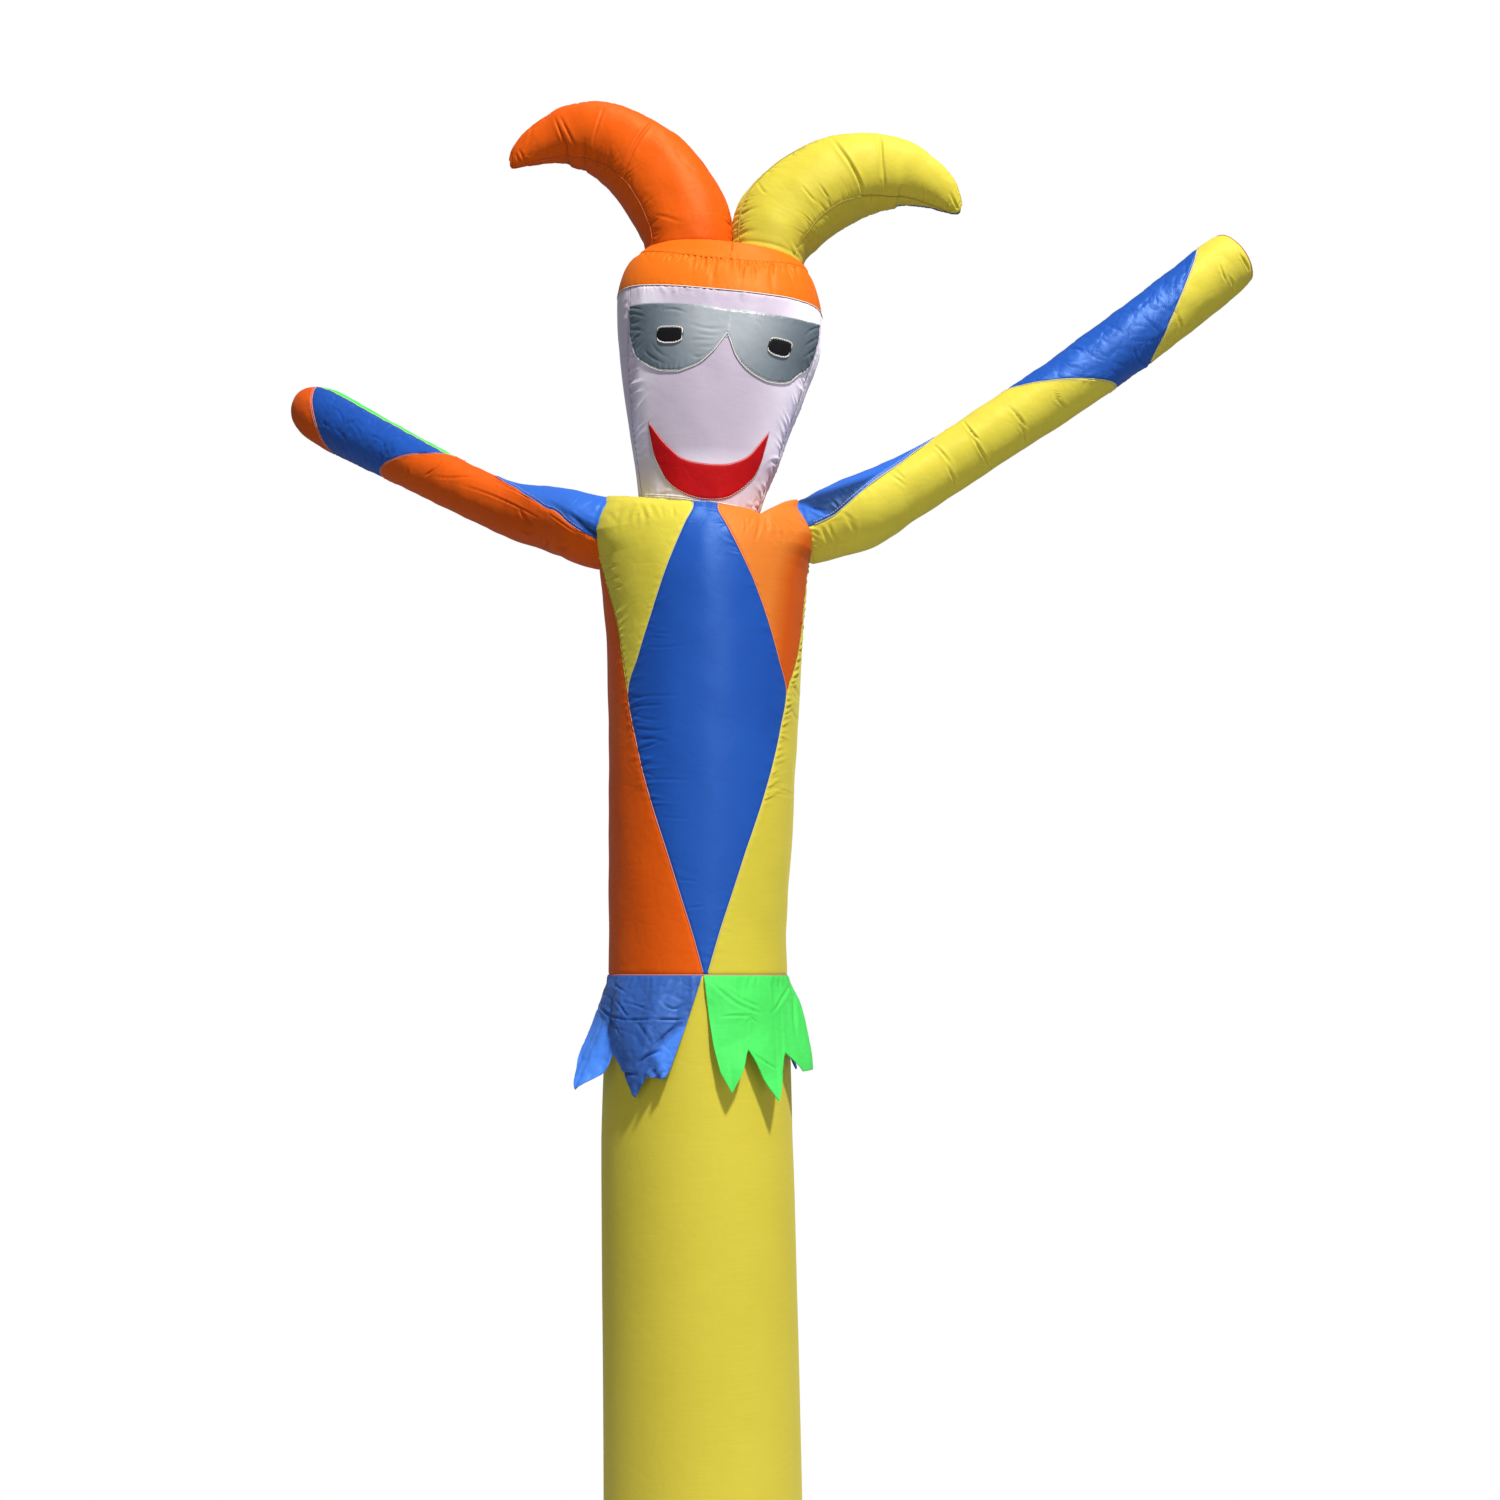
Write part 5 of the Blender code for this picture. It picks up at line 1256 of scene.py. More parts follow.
# %% [markdown]
# ## Pieces sewn on the face
# The half-mask, the eyes and the mouth are cut from other cloths and sewn flat on the
# face with a white thread. They follow every fold of the face below, so each of them
# adds its own height to the face's. The satin of the mask wrinkles most, because it was
# sewn on before the face was stretched by the air.

# %% Half-mask, mouth and eyes
MASK_ROWS = [  # theta, low t, high t
    (-56.5, 2.5745, 2.6295), (-50.5, 2.539, 2.6292), (-44, 2.5265, 2.6288), (-36, 2.516, 2.6284),
    (-27.3, 2.5103, 2.6282), (-19, 2.51, 2.6281), (-12, 2.516, 2.6276), (-6, 2.525, 2.6264),
    (-0.6, 2.5425, 2.625), (3, 2.566, 2.6242), (5, 2.581, 2.624), (7, 2.569, 2.624),
    (12.2, 2.5423, 2.6243), (19, 2.5255, 2.6248), (27, 2.516, 2.6254), (36, 2.5113, 2.6262),
    (45, 2.514, 2.6278), (54, 2.522, 2.6296), (61.3, 2.5403, 2.633), (67.5, 2.552, 2.636),
    (72, 2.57, 2.6385),
]
MOUTH_ROWS = [  # theta, low t, high t
    (-43.5, 2.418, 2.435), (-40, 2.3865, 2.427), (-35, 2.369, 2.416), (-29.5, 2.3552, 2.4055),
    (-23, 2.347, 2.396), (-15, 2.341, 2.3865), (-6, 2.3372, 2.383), (4, 2.336, 2.3824),
    (12, 2.3372, 2.3836), (20, 2.34, 2.3858), (28, 2.345, 2.3915), (35, 2.353, 2.399),
    (42, 2.364, 2.414), (47.5, 2.376, 2.429), (51, 2.406, 2.4395),
]
EYE_ROWS = [  # across, low, high
    (-1.00, -0.34, 0.42), (-0.86, -0.66, 0.8), (-0.58, -0.9, 0.92), (-0.2, -1.00, 0.95),
    (0.2, -1.00, 0.95), (0.58, -0.9, 0.92), (0.86, -0.66, 0.8), (1.00, -0.34, 0.42),
]
EYE_SPOTS = {  # name: theta, half width in degrees, t, half height
    "eye_left": (-24.2, 8.3, 2.5697, 0.0143),
    "eye_right": (37.4, 8.4, 2.5697, 0.0146),
}
EYES = {eye: [(mid + half * x, high + tall * low, high + tall * top) for x, low, top in EYE_ROWS]
        for eye, (mid, half, high, tall) in EYE_SPOTS.items()}
NOTCH = 5.0            # the mask's pointed middle
MASK_LINES = [  # x0, z0, x1, z1, x2, z2, width, depth
    (-130, 2603, -121, 2605, -108, 2603, 3, 1.3), (-130, 2594, -117, 2595, -102, 2590, 3, 1.3),
    (-129, 2582, -120, 2580, -108, 2584, 3, 1.2), (-128, 2565, -115, 2569, -104, 2565, 3, 1.3),
    (-125, 2554, -116, 2557, -107, 2560, 3, 1.3), (-73, 2602, -55, 2603, -35, 2596, 3, 1.2),
    (-33, 2580, -4, 2571, 27, 2571, 3, 1.5), (-22, 2563, 0, 2559, 21, 2559, 3, 1.4),
    (-29, 2550, -11, 2552, 14, 2550, 3, 1.3), (-18, 2540, 0, 2540, 11, 2542, 3, 1.2),
    (-91, 2546, -80, 2531, -65, 2523, 3, 1.1), (-102, 2534, -91, 2523, -72, 2512, 3, 1.1),
    (-29, 2529, -18, 2523, -4, 2529, 3, 1.2), (154, 2561, 163, 2569, 176, 2573, 3, 1.4),
    (152, 2542, 163, 2550, 174, 2557, 3, 1.4), (150, 2523, 163, 2533, 172, 2542, 3, 1.3),
    (76, 2584, 80, 2580, 85, 2569, 2.5, 0.8),
]


def rim(table, column, corner=None):
    """Smooth outline of a face piece, with one sharp corner if it has one."""
    pts = [(r[0], r[column]) for r in table]
    if corner is None:
        return lambda th: value(pts, th)
    first, last = [q for q in pts if q[0] <= corner], [q for q in pts if q[0] >= corner]
    return lambda th: np.where(th <= corner, value(first, th), value(last, th))


def rim_edge(rule):
    def at(t, theta, per_t, per_a):
        return theta * per_a, np.abs(t - rule(theta)) * per_t
    return at


def face_piece(node, cloth, table, on, lift, rows, cols, puckers, lines, seed, corner=None,
               crush=(0.0, 0.03)):
    """A piece sewn on the sheet named on, standing lift above it."""
    low, high = rim(table, 1, corner), rim(table, 2)
    a, b = table[0][0], table[-1][0]
    edges = {"low": rim_edge(low), "high": rim_edge(high),
             "left": side_edge(level(a), HEAD_LOW),
             "right": side_edge(level(b), HEAD_LOW)}
    panel = Sheet(HEAD, edges, puckers, lines, uneven=(0.0, 0.05), crush=crush, seed=seed,
                  lift=lift, under=PANELS[on])
    theta = (a + (b - a) * packed(cols, 0.5))[None, :] * np.ones((rows, 1))
    t = low(theta) + (high(theta) - low(theta)) * packed(rows, 0.6)[:, None]
    return sheet(node, cloth, panel, t, theta, thick=0.0009)


mask = face_piece("face_mask", "satin", MASK_ROWS, "head_face", 0.0019, 64, 210, [
    ("left", 200, 320, 7, 22, 2.2, 0.2), ("right", 200, 320, 7, 24, 2.4, 0.5),
    ("low", -140, 0, 7.5, 16, 1.8, 0), ("low", 20, 160, 7.5, 14, 1.4, 0),
    ("high", -140, 160, 9, 10, 1, 0)], MASK_LINES, 41, NOTCH, (0.0003, 0.03))
face_piece("face_mouth", "red", MOUTH_ROWS, "head_face", 0.0019, 20, 110, [
    ("low", -100, 100, 10, 10, 0.7, 0),
    ("high", -100, 100, 10, 8, 0.6, 0)], (), 42, crush=(0.0003, 0.035))
for eye, rows in EYES.items():
    face_piece(eye, "black", rows, "face_mask", 0.0022, 14, 26, (), (), 43)


def satin_painted_reflection(p, *_):
    # painted reflection and shade: the satin takes its light colour between the eyes, as if it
    # reflected the sky there, and painted shade towards its rims
    middle = np.exp(-((p[:, 0] - 0.03) / 0.085) ** 2)
    high = unit((p[:, 2] - 2.5) / 0.085)
    brim = unit((2.64 - p[:, 2] - 0.08 * p[:, 0]) / 0.03)
    return 1.0 - unit(1.25 * middle * (0.35 + 0.65 * high) * (0.15 + 0.85 * brim))


paint_light_and_shade(mask, satin_painted_reflection)
print("face pieces done, panels:", len(PANELS))

# %% [markdown]
# ## The horns
# Each horn is a crescent of four pieces: a front, a back and two narrow gussets between
# them, the inner one along the hollow of the curve. The outside of the curve has more
# cloth than it needs, so it crinkles there, and two or three creases cross each horn
# where the wind folds it. Their open ends are sewn to the top of the cap, so the first
# row of each sheet is worked out as the place where the horn meets the cap.

# %% Horn seams
HORN_INNER = [(0.0, 52.0), (0.07, 51.0), (0.13, 48.0), (0.18, 48.0), (0.24, 54.0),
              (0.31, 66.0), (0.4, 78.0), (0.48, 84.0)]
HORN_OUTER = {
    "left": [(0.0, 74.0), (0.48, 82.0)],
    "right": [(0.0, 50.0), (0.06, 54.0), (0.15, 60.0), (0.25, 74.0), (0.48, 82.0)],
}
HORN_LEFT = [  # x0, z0, x1, z1, x2, z2, width, depth
    (-96, 2926, -123, 2885, -143, 2825, 4, 2.2), (-175, 2951, -185, 2918, -192, 2890, 3, 1.3),
    (-246, 2937, -233, 2912, -220, 2885, 3, 1.6), (-254, 2934, -241, 2901, -233, 2882, 3, 1.5),
    (-311, 2879, -303, 2863, -298, 2852, 3, 1.4), (-316, 2871, -310, 2858, -306, 2852, 3, 1.2),
    (-289, 2912, -294, 2901, -298, 2893, 3, 1.2), (-57, 2879, -42, 2857, -26, 2844, 4, 0.8),
    (-87, 2765, -66, 2760, -46, 2752, 4, 0.8),
]
HORN_RIGHT = [
    (200, 2896, 235, 2841, 247, 2800, 4, 2.2), (276, 2901, 279, 2874, 279, 2833, 4, 2),
    (282, 2857, 283, 2819, 282, 2803, 3, 1.3), (151, 2814, 161, 2800, 171, 2789, 3, 0.8),
    (177, 2819, 187, 2803, 192, 2795, 3, 0.8), (75, 2825, 85, 2808, 90, 2803, 3, 1.2),
    (389, 2803, 394, 2792, 401, 2776, 3, 1.4), (376, 2789, 384, 2779, 388, 2772, 3, 1.2),
]


def lid_guess(p):
    x, y = (p[:, 0] - LID.MID_X) / 0.1385, -p[:, 1] / 0.078
    k = np.clip(np.hypot(x, y), 0.15, 1.0)
    return LID.FOLD + 0.13 * (1.0 - k), np.degrees(np.arctan2(x, y))


def straight(table):
    """A two-column table with straight lines between its rows."""
    return lambda t: np.interp(t, [r[0] for r in table], [r[1] for r in table])


def horn(side, skin, inner_sign, cloths, lines, seed):
    """Four sheets round one horn."""
    rules = {inner_sign: straight(HORN_INNER), -inner_sign: straight(HORN_OUTER[side])}
    def lo(t): return -rules[-1](t)
    def hi(t): return rules[1](t)
    def lo_back(t): return -180.0 - lo(t)
    def hi_back(t): return 180.0 - hi(t)
    names = {inner_sign: "inner", -inner_sign: "outer"}
    outer_edge = "right" if inner_sign < 0 else "left"
    plan = [("front", lo, hi, 50, cloths[0], lines), (names[1], hi, hi_back, 18, cloths[0], lines),
            ("back", hi_back, turned(lo_back, 360.0), 28, cloths[1], ()),
            (names[-1], lo_back, lo, 18, cloths[0], lines)]

    def puff(t, theta):
        """The two horns press on each other just above the cap."""
        facing = np.maximum(0.0, np.cos(np.radians(theta + 90.0 * inner_sign)))
        return 0.0065 * facing ** 2 * np.exp(-((t - 0.03) / 0.045) ** 2)

    for i, (part, left, right, cols, cloth, table) in enumerate(plan):
        edges = {"left": side_edge(left, 0.0), "right": side_edge(right, 0.0),
                 "root": level_edge(0.012, 0.5 * float(left(0.0) + right(0.0)))}
        # most cloth is gathered along the outer curve
        tight = []
        for e in ("left", "right"):
            most = part == "outer" or (part == "front" and e == outer_edge)
            tall = -3.6 if most else -1.8
            tight += [(e, 10, 220, 11.5, 24, tall, 0.2),
                      (e, 200, 560, 11.5, 22, tall, 0.0)]
        panel = Sheet(skin, edges, tight, table, uneven=(0.0006, 0.05), crush=(0.0002, 0.03),
                      seed=seed + i, puff=puff)
        f = packed(cols, 0.5)
        first = left(0.0) + (right(0.0) - left(0.0)) * f
        start = roots(skin, first, LID, lid_guess, 0.0) - 0.0015
        g = np.linspace(0.0, 1.0, 280 if part in ("front", "outer") else 170)[:, None]
        t = start[None, :] + (skin.length - start[None, :]) * g
        theta = left(t) + (right(t) - left(t)) * f[None, :]
        sheet(f"horn_{side}_{part}", cloth, panel, t, theta)


horn("left", HORN_L, -1, ("orange crumpled",) * 2, crisp(HORN_LEFT, 0.9, 1.8), 50)
horn("right", HORN_R, 1, ("yellow", "blue"), crisp(HORN_RIGHT, 0.9, 1.8), 60)
print("horns done, panels:", len(PANELS))

# %% [markdown]
# ## The arms
# The arms are tubes sewn from slanted pieces, so that their colours wind round them like
# a ribbon. Each begins with a blue wedge on the shoulder and a long sleeve under it. The
# slanted seams are given by how far along the arm they lie at its upper and lower line.
# The arms whip about the most, and their cloth is crumpled all over: a chain of sharp
# creases crosses the right one, and the left one has long folds towards the shoulder.

# %% Arm seams
SHOULDER_R = [(0.03, 98.0), (0.085, 94.0), (0.125, 80.0), (0.16, 69.0), (0.232, 53.0),
              (0.275, 38.0), (0.315, 20.0), (0.335, 4.0), (0.342, 0.4)]
SHOULDER_L = [(0.03, 116.0), (0.08, 100.0), (0.13, 92.0), (0.18, 76.0), (0.226, 58.0),
              (0.275, 45.0), (0.321, 28.0), (0.345, 4.0), (0.35, 0.4)]
ARMS = {  # side: skin, angle of the upper line, wedge, slanted seams near and far
    "right": (ARM_R, -90.0, SHOULDER_R, (0.452, 0.615), (0.88, 0.687)),
    "left": (ARM_L, 90.0, SHOULDER_L, (0.432, 0.584), (0.852, 0.737)),
}
SHOULDER_RIGHT = [  # x0, z0, x1, z1, x2, z2, width, depth
    (147, 2279, 165, 2274, 187, 2268, 4, 2.4), (150, 2282, 169, 2284, 191, 2287, 5, 1.8),
    (191, 2287, 198, 2282, 203, 2274, 4, 1.8), (165, 2271, 178, 2266, 190, 2263, 4, 1.8),
    (202, 2308, 210, 2300, 214, 2297, 3, 1.4), (216, 2307, 225, 2300, 231, 2295, 3, 1.2),
]
SLEEVE_RIGHT = [
    (403, 2416, 415, 2399, 426, 2386, 3, 1.8), (418, 2388, 430, 2366, 443, 2344, 3, 1.8),
    (477, 2441, 492, 2421, 497, 2410, 3, 1.8), (492, 2410, 500, 2394, 502, 2377, 3, 1.6),
    (354, 2377, 367, 2366, 380, 2347, 3, 1.7), (375, 2344, 385, 2323, 390, 2312, 3, 1.5),
    (552, 2466, 556, 2449, 569, 2441, 3, 1.5),
]
ROOT_RIGHT = [
    (175, 2245, 188, 2221, 202, 2196, 4.5, 2.6), (186, 2252, 192, 2235, 199, 2222, 4, 1.9),
    (199, 2222, 210, 2221, 221, 2222, 3.5, 1.7), (215, 2258, 227, 2242, 233, 2222, 4.5, 2),
    (198, 2219, 215, 2211, 232, 2209, 8, -1.5), (205, 2268, 219, 2260, 231, 2248, 4, 1.2),
    (168, 2218, 181, 2211, 195, 2200, 4, 1.7), (163, 2239, 168, 2234, 174, 2227, 3, 1.6),
    (163, 2229, 168, 2224, 173, 2219, 3, 1.6), (285, 2328, 298, 2320, 309, 2310, 3, 1.5),
    (292, 2336, 301, 2328, 308, 2320, 3, 1.5),
]
MIDDLE_RIGHT = [
    (537, 2493, 547, 2477, 549, 2466, 3, 1.3), (739, 2639, 752, 2628, 759, 2617, 3, 1.6),
    (717, 2617, 737, 2600, 747, 2591, 3, 1.6), (694, 2589, 715, 2572, 730, 2560, 3, 1.6),
    (679, 2538, 683, 2521, 699, 2510, 3, 1.6), (666, 2549, 693, 2552, 719, 2549, 3, 1.4),
    (570, 2532, 586, 2538, 596, 2527, 3, 1.4), (689, 2605, 700, 2617, 717, 2620, 3, 1.4),
]
END_RIGHT = [
    (821, 2679, 825, 2662, 830, 2654, 3, 1.2), (743, 2605, 752, 2583, 757, 2560, 3, 1.6),
    (831, 2662, 841, 2645, 837, 2634, 3, 1.2), (854, 2696, 861, 2685, 866, 2671, 3, 1.5),
]
SHOULDER_LEFT = [
    (-219, 2266, -206, 2255, -174, 2227, 4, 2.4), (-207, 2252, -193, 2239, -179, 2234, 4, 2.2),
    (-207, 2258, -189, 2249, -176, 2239, 3, 1.8), (-200, 2274, -181, 2284, -167, 2290, 3, 1.6),
    (-194, 2274, -183, 2277, -170, 2284, 3, 1.4), (-216, 2279, -208, 2284, -202, 2292, 3, 1.2),
]
SLEEVE_LEFT = [
    (-433, 2326, -401, 2324, -368, 2326, 2.5, 1.4), (-397, 2314, -331, 2291, -268, 2259, 2.5, 1.3),
    (-296, 2271, -287, 2257, -277, 2247, 4, 2), (-258, 2230, -253, 2220, -257, 2210, 5, 2.4),
    (-240, 2224, -232, 2210, -220, 2214, 5, 2), (-299, 2247, -285, 2235, -277, 2237, 4, 1.6),
    (-478, 2344, -474, 2332, -476, 2324, 3, 1), (-446, 2328, -435, 2336, -423, 2349, 3, 1.8),
    (-352, 2328, -308, 2304, -257, 2279, 2.5, 1.1), (-248, 2263, -225, 2247, -209, 2235, 2.5, 1.2),
]
FOREARM_LEFT = [
    (-615, 2419, -605, 2410, -595, 2404, 3, 1.4), (-601, 2439, -586, 2431, -580, 2414, 3, 1.4),
    (-591, 2404, -579, 2394, -573, 2386, 3, 1.4), (-570, 2419, -556, 2404, -551, 2392, 3, 1.4),
    (-539, 2392, -519, 2386, -511, 2369, 3, 1.5), (-503, 2381, -499, 2369, -495, 2361, 3, 1.3),
    (-583, 2410, -568, 2414, -552, 2419, 3, 1.2), (-522, 2365, -516, 2353, -520, 2344, 3, 1.4),
]


def slant(pair, off_top):
    """Distance along the arm of a slanted seam, off_top degrees from the upper line."""
    return pair[0] + (pair[1] - pair[0]) * (1.0 - np.cos(np.radians(off_top))) / 2.0


def slant_edge(pair, top):
    def rule(t, theta, per_t, per_a):
        return (theta - top) * per_a, np.abs(t - slant(pair, theta - top)) * per_t
    return rule


def torso_guess(sign):
    def guess(p):
        lean = np.degrees(np.arcsin(np.clip(p[:, 1] / 0.15, -0.9, 0.9)))
        return np.clip(p[:, 2] + 0.004, 2.18, 2.335), sign * (90.0 + lean)
    return guess


# %% Shoulder wedge and upper sleeve
# painted shade where the folded cloth of each shoulder lies in shade, between lines as the eye sees it
PAINTED_SHOULDER_SHADE = {
    "right": ((0.137, 2.286, 0.191, 2.304), (0.2, 2.264, 0.15, 2.28),
              (0.228, 2.294, 0.2, 2.264)),
    "left": ((-0.224, 2.271, -0.174, 2.243), (-0.172, 2.222, -0.214, 2.258)),
}
WEDGE_GATHERS = same_on(("left", "right"), 0, 300, 11, 12, 1.4, 0.0)


def arm(side, cloth, lines, seed):
    """The blue wedge on a shoulder, and the upper sleeve round the rest of the arm."""
    skin, top, wedge, near_seam, _ = ARMS[side]
    open_half = straight(wedge)
    guess = torso_guess(-1.0 if side == "left" else 1.0)
    end = wedge[-1][0]

    def rows_from_root(low, wide, f, count):
        """Places from the torso out to the wedge's end, between two edges."""
        first_row = low(0.03) + wide(0.03) * f
        start = roots(skin, first_row, TORSO, guess) - 0.0015
        g = np.linspace(0.0, 1.0, count)[:, None]
        t = start[None, :] + (end - start[None, :]) * g
        return t, low(t) + wide(t) * f[None, :]

    edges = {"left": side_edge(lambda t: top - open_half(t), 0.03),
             "right": side_edge(lambda t: top + open_half(t), 0.03),
             "root": level_edge(0.035, top)}
    panel = Sheet(skin, edges, WEDGE_GATHERS + [("root", -200, 200, 8.5, 16, 1.8, 0)],
                  lines[0], uneven=(0.0006, 0.05), crush=(0.0004, 0.035), seed=seed)
    t, theta = rows_from_root(lambda t: top + 0 * t, open_half, 2 * packed(46, 0.4) - 1, 150)
    # the wedge takes painted shade between the lines above, on its front
    paint_light_and_shade(sheet(f"arm_{side}_shoulder", "blue shoulder", panel, t, theta),
         lambda p, x, z: np.min([right_of(x, z, *line) for line in PAINTED_SHOULDER_SHADE[side]], axis=0)
         * unit(0.5 - p[:, 1] / 0.03))

    edges = {"left": side_edge(lambda t: top + open_half(t), 0.03),
             "right": side_edge(lambda t: top + 360.0 - open_half(t), 0.03),
             "root": level_edge(0.035, top + 180.0), "far": slant_edge(near_seam, top)}
    panel = Sheet(skin, edges, WEDGE_GATHERS + [("root", -200, 200, 8.5, 18, 2.4, 0),
                                                ("far", 0, 400, 10, 16, 1.8, 0)],
                  lines[1], uneven=(0.0007, 0.06), crush=(0.00015, 0.05), seed=seed + 1)
    f = packed(100, 0.3)
    t, theta = rows_from_root(lambda t: top + open_half(t), lambda t: 360.0 - 2 * open_half(t),
                              f, 130)
    g = np.linspace(0.0, 1.0, 110)[1:, None]
    off = open_half(end) + (360.0 - 2 * open_half(end)) * f[None, :]
    more = end + (slant(near_seam, off) - end) * g
    sheet(f"arm_{side}_upper", cloth, panel, np.vstack([t, more]),
          np.vstack([theta, top + off + 0 * g]))


def sleeve(node, cloth, angles, rows, puckers, lines, seed, crush, tip=None, pole=False,
           sides=None):
    """A tube, or a strip of one, from the near seam to the far one; with a tip, from the
    far seam to the end of the arm."""
    skin, top, _, *seams = ARMS[node.split("_")[1]]
    near, far = seams if tip is None else (seams[1], (tip[0], tip[0]))
    edges = {"near": slant_edge(near, top)}
    if tip is None:
        edges["far"] = slant_edge(far, top)
    if sides:
        edges["side_a"] = side_edge(level(top + sides[0]), near[0])
        edges["side_b"] = side_edge(level(top + sides[1]), near[0])
    panel = Sheet(skin, edges, puckers, lines, uneven=(0.0007, 0.05), crush=crush, seed=seed)
    a = angles[None, :]
    g = np.linspace(0.0, 1.0, rows)[:, None]
    t = slant(near, a) * (1 - g) + slant(far, a) * g
    theta = top + a + 0 * g
    if tip is not None:
        more = np.linspace(*tip, 22)[1:, None]
        t = np.vstack([t, more + 0 * a])
        theta = np.vstack([theta, top + a + 0 * more])
    return sheet(node, cloth, panel, t, theta, ring=sides is None, pole=pole)


# %% Right arm
ROUND = np.linspace(0.0, 360.0, 100)[:-1]
END_R = ARM_R.length - 0.0005
arm("right", "yellow crumpled",
    (crisp(SHOULDER_RIGHT), crisp(SLEEVE_RIGHT, 0.8, 2.1) + ROOT_RIGHT), 71)
sleeve("arm_right_middle", "blue crumpled", ROUND, 150, [
    ("near", 0, 360, 10, 16, 1.8, 0),
    ("far", 0, 360, 8.5, 26, 3.2, 0)], crisp(MIDDLE_RIGHT, 0.8, 1.8), 75,
    (0.001, 0.034))
sleeve("arm_right_end", "yellow crumpled", ROUND, 84, [
    ("near", 0, 360, 10, 16, 1.4, 0)], crisp(END_RIGHT, 0.8, 1.8), 76,
    (0.0002, 0.04), tip=(END_R - 0.03, END_R))

# %% Left arm
END_L = ARM_L.length - 0.0005
SPLIT_A, SPLIT_B = 155.0, 323.0        # its two lengthwise seams
FOREARM_GATHERS = [("near", 0, 360, 11, 14, 1.2, 0),
                   ("far", 0, 360, 10, 16, 1.2, 0),
                   *same_on(("side_a", "side_b"), 0, 420, 12, 12, 1, 0.0)]
arm("left", "orange crumpled", (crisp(SHOULDER_LEFT), crisp(SLEEVE_LEFT, 0.8, 1.8)), 81)
for part, cloth, a, b, cols, rows, lines, seed, crush in (
        ("front", "blue crumpled", SPLIT_A, SPLIT_B, 56, 150, crisp(FOREARM_LEFT, 0.8, 1.8),
         85, (0.0011, 0.034)),
        ("back", "green", SPLIT_B - 360.0, SPLIT_A, 40, 100, (), 86, (0.0009, 0.035))):
    sleeve("arm_left_forearm_" + part, cloth, a + (b - a) * packed(cols, 0.4), rows,
           FOREARM_GATHERS, lines, seed, crush, sides=(a, b))
sleeve("arm_left_end", "orange crumpled", ROUND, 56, [
    ("near", 0, 360, 11, 16, 1.1, 0)], (), 87,
    (0.0004, 0.045), tip=(END_L - 0.024, END_L), pole=True)
print("arms done, panels:", len(PANELS))

# %% [markdown]
# ## End of the right sleeve
# A flat disc closes the right sleeve. Air domes it a little, and the seam round it draws
# it into a ring of short folds.

# %% Disc
along, front, side = ARM_R.frame(np.array(ARM_R.length))
tip = ARM_R.centre(np.array(ARM_R.length))[:3]
DISC_R, DISC_DOME = 0.0462, 0.0062
DISC_FOLDS = 29
turns = np.radians(np.linspace(0.0, 360.0, 73)[:-1])[None, :]
reach = np.linspace(1.0, 0.04, 22)[:, None]
rng = np.random.default_rng(90)
places = np.linspace(0, 2 * np.pi, DISC_FOLDS + 1)[:-1] + rng.uniform(-0.08, 0.08, DISC_FOLDS)
fold = sum(rng.uniform(0.3, 1.0)
           * np.exp(-((np.mod(turns - c + np.pi, 2 * np.pi) - np.pi) / 0.07) ** 2)
           for c in places)
up = (-0.0002 + DISC_DOME * (1 - reach ** 2) + 0.0012 * fold * np.exp(-((1 - reach) / 0.16) ** 2)
      * np.minimum(1.0, (1 - reach) / 0.05))
disc_uv = np.stack([DISC_R * reach * np.sin(turns), DISC_R * reach * np.cos(turns)], -1)
disc = tip + side * disc_uv[..., :1] + front * disc_uv[..., 1:] + along * up[..., None]
ob = close_sheet("cloth_arm_right_disc", disc, np.broadcast_to(along, disc.shape),
                 np.zeros(disc.shape[:2]), disc_uv, CLOTH["yellow crumpled"], True,
                 (tip + along * DISC_DOME, tip + along * (DISC_DOME - THICK)))
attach(ob, "root")
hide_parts("arm_right_disc")
CUTS["arm_right_disc"] = (2 * DISC_R, 2 * DISC_R, round(math.pi * DISC_R ** 2, 4))
print("disc radius:", DISC_R)

# %% [markdown]
# ## The skirt
# Four loose flaps hang from the waist seam, cut in points like a jester's skirt. They
# aren't held out by air, so they are the only slack cloth here: each stands off the leg
# a little more towards its points, and keeps the folds it was packed with, such as the
# long level crease across the blue one, whose lower corner is also rolled up. Each
# table gives the columns of a flap, and the cloth between them is a soft surface.

# %% Flap tables
FLAP_TOP = 1.5494
FLAP_BLUE = [  # angle at the waist, angle and height of the lower end, stand-off
    (-90, -74, 1.456, 0.028), (-81, -64, 1.408, 0.05), (-72, -58, 1.381, 0.061),
    (-63, -52, 1.405, 0.022), (-54, -50.5, 1.434, 0.011), (-45, -46.5, 1.42, 0.01),
    (-36, -40, 1.4, 0.009), (-27, -32.5, 1.37, 0.01), (-18, -25, 1.402, 0.012), (-9, -19, 1.4, 0.016),
    (0, -15, 1.398, 0.013), (4.6, -12.5, 1.413, 0.01),
]
FLAP_GREEN = [  # the same
    (5.4, 10.5, 1.448, 0.008), (9, 14, 1.408, 0.012), (18, 19.5, 1.378, 0.018), (27, 24.5, 1.405, 0.02),
    (36, 29.5, 1.443, 0.014), (45, 38, 1.395, 0.02), (54, 45, 1.362, 0.026), (63, 55, 1.436, 0.016),
    (72, 68, 1.404, 0.026), (81, 80, 1.405, 0.032), (90, 90, 1.434, 0.022),
]
